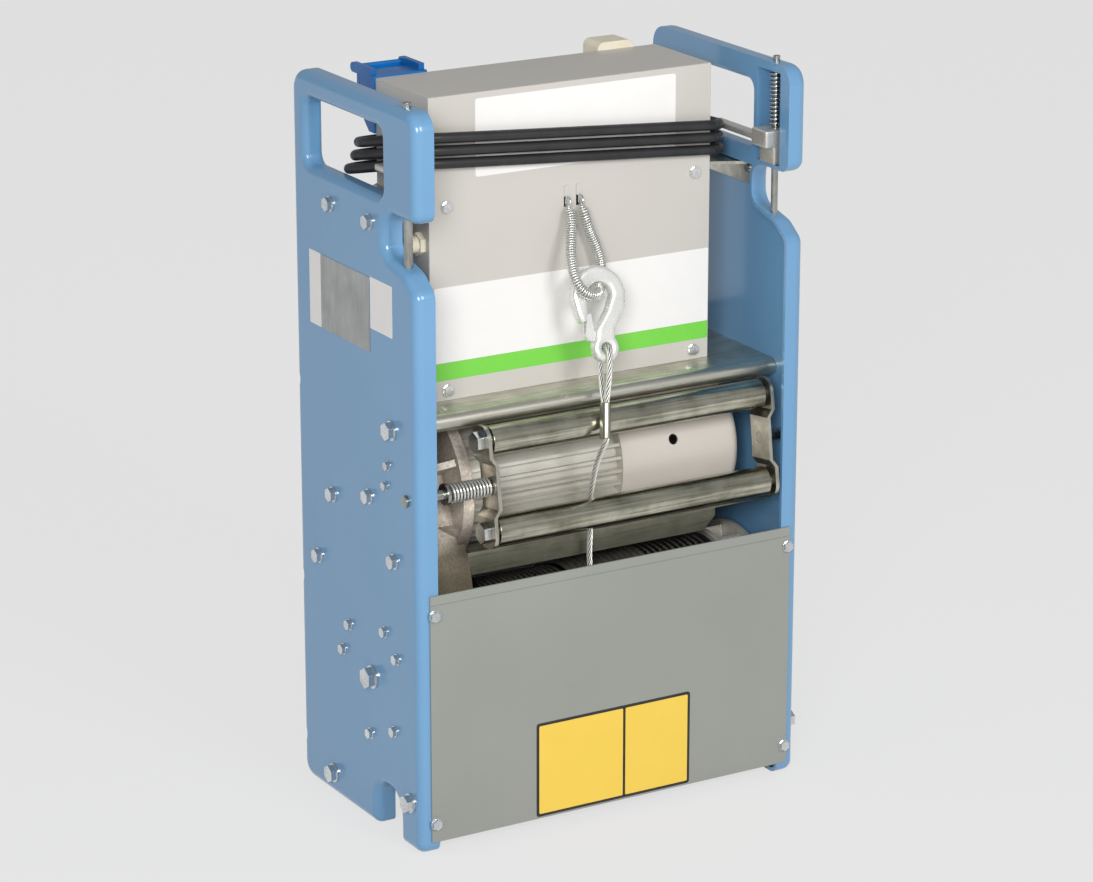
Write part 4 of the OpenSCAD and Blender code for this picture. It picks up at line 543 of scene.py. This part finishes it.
guideSpring = {
    "start": -178.1, "length": 49.0, "radius": 8.8, "wire": 2.4, "turns": 12, "y": 22.0, "z": 367.0,
}
guideCoil = helixLine(
    guideSpring["turns"], guideSpring["radius"], guideSpring["length"], guideSpring["wire"]
)
line = [
    inMetres((guideSpring["start"] + p.z, guideSpring["y"] + p.x, guideSpring["z"] + p.y))
    for p in guideCoil
]
spring = wires("guideSpringWire", [line], guideSpring["wire"] / 2000)
settle(spring, "rope_guide", springZinc, ("guide_spring",))

stowSpring = {
    "wire": 1.9, "radius": 4.6, "turns": 102, "steps": 14, "closed": 0.05, "ease": 0.025,
    "ring": 4.6, "ringWire": 1.8, "ringStretch": 1.3, "ringAcross": 7.4, "ringBehind": -2.6, "ringAlong": 237.5,
    "route": [
        (-7, 0, 246), (-7.5, -3, 231), (-9, -5, 217), (-14, -7, 200), (-19, -10, 180), (-19.5, -13, 160),
        (-13, -13.5, 147.5), (-1.5, -11, 142), (9, -3, 142.5), (16, 6.5, 147), (22.5, 12.5, 156), (26, 13, 167),
        (25, 10, 179), (21, 6, 191), (15, 2, 204), (9.5, -3, 218), (7.5, -4, 231), (7, 0, 246),
    ],
}


def stowLine(setup):  # a close coil along the route, drawn in to a straight end in each slot
    number = setup["turns"] * setup["steps"]
    core = evenly(curveThrough([onHookLine(p) for p in setup["route"]], 24), number)
    plane = Vector((2, -math.cos(lean), math.sin(lean))).normalized()
    line = []
    for i in range(number + 1):
        way = (core[min(i + 6, number)] - core[max(i - 6, 0)]).normalized()
        side = (plane - way * plane.dot(way)).normalized()
        other = way.cross(side)
        turn = math.tau * i / setup["steps"]
        reach = setup["radius"] / 1000
        for share in (i / number, 1 - i / number):
            share = max(0.0, min(1.0, (share - setup["closed"]) / setup["ease"]))
            reach *= share * share * (3 - 2 * share)
        line.append(core[i] + (side * math.cos(turn) + other * math.sin(turn)) * reach)
    return line


def stowRing(setup, x):  # end loop, hooked into its slot
    line = []
    for k in range(25):
        turn = math.tau * k / 24
        line.append(onHookLine((
            x,
            setup["ringBehind"] + setup["ring"] * math.cos(turn),
            setup["ringAlong"] + setup["ringStretch"] * setup["ring"] * math.sin(turn),
        )))
    return line


spring = wires("stowSpringWire", [stowLine(stowSpring)], stowSpring["wire"] / 2000, resolution=1)
settle(spring, "frame", springZinc, ("stow_spring",))
rings = wires(
    "stowSpringRings", [stowRing(stowSpring, sign * stowSpring["ringAcross"]) for sign in (-1, 1)],
    stowSpring["ringWire"] / 2000
)
settle(rings, "frame", boltZinc)
print("springs wound")


# CAD nodes: the ones in plain view get a merged copy with broken edges, the rest keep their own mesh
finishSetup = {"merge": 0.01, "flatAngle": 0.6, "voxel": 0.6, "rub": 0.5, "flatWeight": 90}


def finishNode(node, material, edge, segments=2, angle=32, forged=0, fuller=0.0):
    body = nodes[node]["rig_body"]
    onlyThis(nodes[node])
    bpy.ops.object.duplicate()
    piece = bpy.context.object
    piece.name = node + "Finish"
    world = piece.matrix_world.copy()
    piece.parent = None
    piece.matrix_world = world
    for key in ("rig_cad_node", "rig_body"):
        del piece[key]
    bpy.ops.object.mode_set(mode="EDIT")
    bpy.ops.mesh.select_all(action="SELECT")
    bpy.ops.mesh.remove_doubles(threshold=finishSetup["merge"] / 1000)
    bpy.ops.mesh.dissolve_limited(angle_limit=math.radians(finishSetup["flatAngle"]))
    bpy.ops.object.mode_set(mode="OBJECT")
    if forged:  # one even skin, its edges rubbed round
        skin = piece.modifiers.new("evenSkin", "REMESH")
        skin.mode = "VOXEL"
        skin.voxel_size = finishSetup["voxel"] / 1000
        bpy.ops.object.modifier_apply(modifier=skin.name)
        rub = piece.modifiers.new("rubbedEdges", "SMOOTH")
        rub.factor = finishSetup["rub"]
        rub.iterations = forged
        bpy.ops.object.modifier_apply(modifier=rub.name)
        if fuller:
            swell = piece.modifiers.new("whatRubbingTookOff", "DISPLACE")
            swell.mid_level = 0
            swell.strength = fuller / 1000
            bpy.ops.object.modifier_apply(modifier=swell.name)
        bpy.ops.object.shade_smooth()
        return settle(piece, body, material, (node,))
    if edge:
        bevel = piece.modifiers.new("brokenEdges", "BEVEL")
        bevel.width = edge / 1000
        bevel.segments = segments
        bevel.limit_method = "ANGLE"
        bevel.angle_limit = math.radians(angle)
        bevel.harden_normals = False
        bevel.use_clamp_overlap = True
        bpy.ops.object.modifier_apply(modifier=bevel.name)
    bpy.ops.object.shade_smooth_by_angle(angle=math.radians(angle))
    weigh = piece.modifiers.new("flatFaces", "WEIGHTED_NORMAL")
    weigh.keep_sharp = True
    weigh.weight = finishSetup["flatWeight"]
    bpy.ops.object.modifier_apply(modifier=weigh.name)
    return settle(piece, body, material, (node,))


finishes = {  # node: (material, edge in mm, segments)
    "left_side_panel": (blueEnamel, 0.7, 2),
    "right_side_panel": (blueEnamel, 0.7, 2),
    "front_cover": (greyPaint, 0.5, 2),
    "rear_cover": (greyPaint, 0.5, 2),
    "cover_screws": (boltZinc, 0.35, 2),
    "panel_bolts": (boltZinc, 0.45, 2),
    "shelf": (shelfZinc, 0.5, 2),
    "cross_plate": (crossZinc, 0.5, 2),
    "tie_tubes": (shelfPaint, 0.4, 2),
    "control_box": (boxPaint, 0.9, 3),
    "control_box_lid": (boxPaint, 0.8, 3),
    "box_bracket_left": (bracketZinc, 0.5, 2),
    "box_bracket_right": (bracketZinc, 0.5, 2),
    "gearbox_housing": (gearAlloy, 1.2, 3),
    "gearbox_cover": (gearAlloy, 0.6, 2),
    "motor_housing": (motorAlloy, 0.5, 2),
    "fan_cowl": (cowlPaint, 0.4, 2),
    "slack_rope_switch": (blackPlastic, 0.8, 2),
    "mains_inlet": (bluePlastic, 2.6, 4),
    "inlet_lid": (bluePlastic, 2.2, 4),
    "control_socket": (creamPlastic, 1.0, 3),
    "cable_gland": (creamPlastic, 0.8, 3),
    "pendant_body": (yellowPlastic, 1.6, 4),
    "pendant_holder": (shelfPaint, 0.5, 2),
    "up_button": (whitePlastic, 0.8, 3),
    "down_button": (blackPlastic, 0.8, 3),
    "stop_button": (redPlastic, 1.6, 4),
    "rope_ferrule": (ferruleAlloy, 1.0, 3),
    "hook_latch": (hookZinc, 0.6, 3),
    "drum_shell": (drumSteel, 0.6, 2),
    "drum_flange": (flangeIron, 1.2, 3),
    "guide_bracket_left": (bracketZinc, 0.6, 2),
    "guide_bracket_right": (bracketZinc, 0.6, 2),
    "guide_shaft": (shaftSteel, 0.6, 2),
    "roller_axles": (boltZinc, 0.5, 2),
    "upper_roller": (rollerZinc, 0.8, 3),
    "lower_roller": (rollerZinc, 0.8, 3),
    "left_lock_rod": (shaftSteel, 0.8, 3),
    "right_lock_rod": (shaftSteel, 0.8, 3),
}
for node, (material, edge, segments) in finishes.items():
    finishNode(node, material, edge, segments)
forgings = {  # node: (material, rounds of rubbing, thickness given back in mm)
    "lifting_hook": (hookZinc, 76, 1.0),
    "left_lock_thumb": (thumbAlloy, 50, 0.0),
    "right_lock_thumb": (thumbAlloy, 50, 0.0),
}
for node, (material, rounds, fuller) in forgings.items():
    finishNode(node, material, 0, forged=rounds, fuller=fuller)
print("nodes finished:", len(finishes) + len(forgings))

plainNodes = {
    "contactor": blackPlastic,
    "motor_stator": drumSteel,
    "drum_axle": shaftSteel,
    "drum_bushes": bronze,
    "drum_gear": shaftSteel,
    "layshaft": shaftSteel,
    "layshaft_gear": shaftSteel,
    "rotor_shaft": shaftSteel,
    "rotor_core": drumSteel,
    "cooling_fan": blackPlastic,
}
for node, material in plainNodes.items():
    nodes[node].material_slots[0].material = material


# flat plates and films: a cube at its size and place, its corners rounded across the thin way
def film(name, low, high, corner, material, body="frame"):
    bpy.ops.object.select_all(action="DESELECT")
    a, b = inMetres(low), inMetres(high)
    size = b - a
    bpy.ops.mesh.primitive_cube_add(size=1, location=(a + b) / 2, scale=size)
    piece = bpy.context.object
    piece.name = name
    bpy.ops.object.transform_apply(location=True, rotation=True, scale=True)
    thin = min(range(3), key=lambda i: size[i])
    bpy.ops.object.mode_set(mode="EDIT")
    bpy.ops.mesh.select_mode(type="EDGE")
    bpy.ops.mesh.select_all(action="DESELECT")
    shape = bmesh.from_edit_mesh(piece.data)
    for edge in shape.edges:
        way = edge.verts[1].co - edge.verts[0].co
        edge.select = abs(way[thin]) > 0.5 * way.length
    bmesh.update_edit_mesh(piece.data)
    bpy.ops.mesh.bevel(offset=corner / 1000, segments=5, affect="EDGES")
    bpy.ops.object.mode_set(mode="OBJECT")
    bpy.ops.object.shade_smooth_by_angle(angle=math.radians(30))
    return settle(piece, body, material)


filmT = 0.25  # films and foils stand this proud of what they are stuck on, in mm
lidFace = 83  # of the control box, behind the front rims
lidFilms = {
    "lidUpperField": ((-110, lidFace - filmT, 664), (120, lidFace, 742), 3, whiteFilm),
    "lidLowerField": ((-157, lidFace - filmT, 480.2), (161, lidFace, 557), 2, whiteFilm),
    "lidGreenStripe": ((-157, lidFace - filmT, 462), (161, lidFace, 480), 1, greenFilm),
}
for name, (low, high, corner, material) in lidFilms.items():
    film(name, low, high, corner, material)

# pressed-out lug over each of the stow spring's slots
stowLug = {"x": 7.0, "half": 2.7, "low": 631.5, "high": 643.0, "out": 1.0, "corner": 1.6}
for side, x in (("Left", -stowLug["x"]), ("Right", stowLug["x"])):
    film(
        "stowLug" + side,
        (x - stowLug["half"], lidFace - stowLug["out"], stowLug["low"]),
        (x + stowLug["half"], lidFace, stowLug["high"]),
        stowLug["corner"], boxPaint
    )

coverSign = {"left": -91, "right": 91, "low": 15, "high": 116, "face": -2.0, "border": 3, "middle": 12}
s = coverSign
film(
    "signBorder", (s["left"], s["face"] - filmT, s["low"]), (s["right"], s["face"], s["high"]),
    3, blackFilm
)
for name, left, right in (
    ("signFieldLeft", s["left"] + s["border"], s["middle"] - s["border"] / 2),
    ("signFieldRight", s["middle"] + s["border"] / 2, s["right"] - s["border"]),
):
    film(
        name,
        (left, s["face"] - 2 * filmT, s["low"] + s["border"]),
        (right, s["face"] - filmT, s["high"] - s["border"]),
        1.5, yellowFilm
    )

sideFace = -223  # outer face of the left panel
sidePlates = {
    "typePlate": ((sideFace - 2 * filmT, 93, 500), (sideFace, 196, 576), 2, silverFoil),
    "whiteLabelBack": ((sideFace - filmT, 197, 500), (sideFace, 221, 576), 1, whiteFilm),
    "whiteLabelFront": ((sideFace - filmT, 47, 525), (sideFace, 92, 577), 1, whiteFilm),
}
for name, (low, high, corner, material) in sidePlates.items():
    film(name, low, high, corner, material)
print("plates and films stuck on")

# floor: pale and even to the camera, with the object's soft shadow in it
stageSetup = {"glow": 0.69, "paper": 0.12, "bounce": 0.72, "size": 40.0}
bpy.ops.object.select_all(action="DESELECT")
bpy.ops.mesh.primitive_plane_add(size=stageSetup["size"], location=(0, 0, 0))
floor = bpy.context.object
floor.name = "studioFloor"
floorPaper = bpy.data.materials.new("paleStudioPaper")
floorPaper.use_nodes = True
tree = floorPaper.node_tree
tree.nodes.remove(tree.nodes["Principled BSDF"])
path = addNode(tree, "ShaderNodeLightPath")
seen = addNode(
    tree, "ShaderNodeMath",
    {0: path.outputs["Is Camera Ray"], 1: path.outputs["Is Glossy Ray"]}, operation="MAXIMUM"
)
bounce = addNode(tree, "ShaderNodeBsdfDiffuse", {"Color": grey(stageSetup["bounce"])})
paper = addNode(tree, "ShaderNodeBsdfDiffuse", {"Color": grey(stageSetup["paper"])})
glow = addNode(tree, "ShaderNodeEmission", {"Color": grey(1.0), "Strength": stageSetup["glow"]})
shown = addNode(tree, "ShaderNodeAddShader", {0: paper.outputs["BSDF"], 1: glow.outputs["Emission"]})
both = addNode(
    tree, "ShaderNodeMixShader",
    {0: seen.outputs["Value"], 1: bounce.outputs["BSDF"], 2: shown.outputs["Shader"]}
)
tree.links.new(both.outputs["Shader"], tree.nodes["Material Output"].inputs["Surface"])
setMaterial(floor, floorPaper)

# light: two panels from the front, one of them well to the left, and a pale room
room = {"colour": "#f1f2f4", "strength": 0.42}
world = bpy.data.worlds.new("paleRoom")
scene.world = world
world.use_nodes = True
walls = world.node_tree.nodes["Background"]
walls.inputs["Color"].default_value = linear(room["colour"])
walls.inputs["Strength"].default_value = room["strength"]
lampAim = Vector((0, 0, 0.4))
lamps = {  # name: (place in metres, size, watts)
    "keyPanel": ((-2.3, -3.1, 1.9), 1.2, 92.0),
    "secondPanel": ((0.3, -3.5, 2.1), 1.2, 58.0),
}
for name, (place, size, watts) in lamps.items():
    bpy.ops.object.light_add(type="AREA", location=place)
    lamp = bpy.context.object
    lamp.name = name
    lamp.data.size = size
    lamp.data.energy = watts
    lamp.rotation_euler = (lampAim - Vector(place)).to_track_quat("-Z", "Y").to_euler()
print("stage and lamps set")
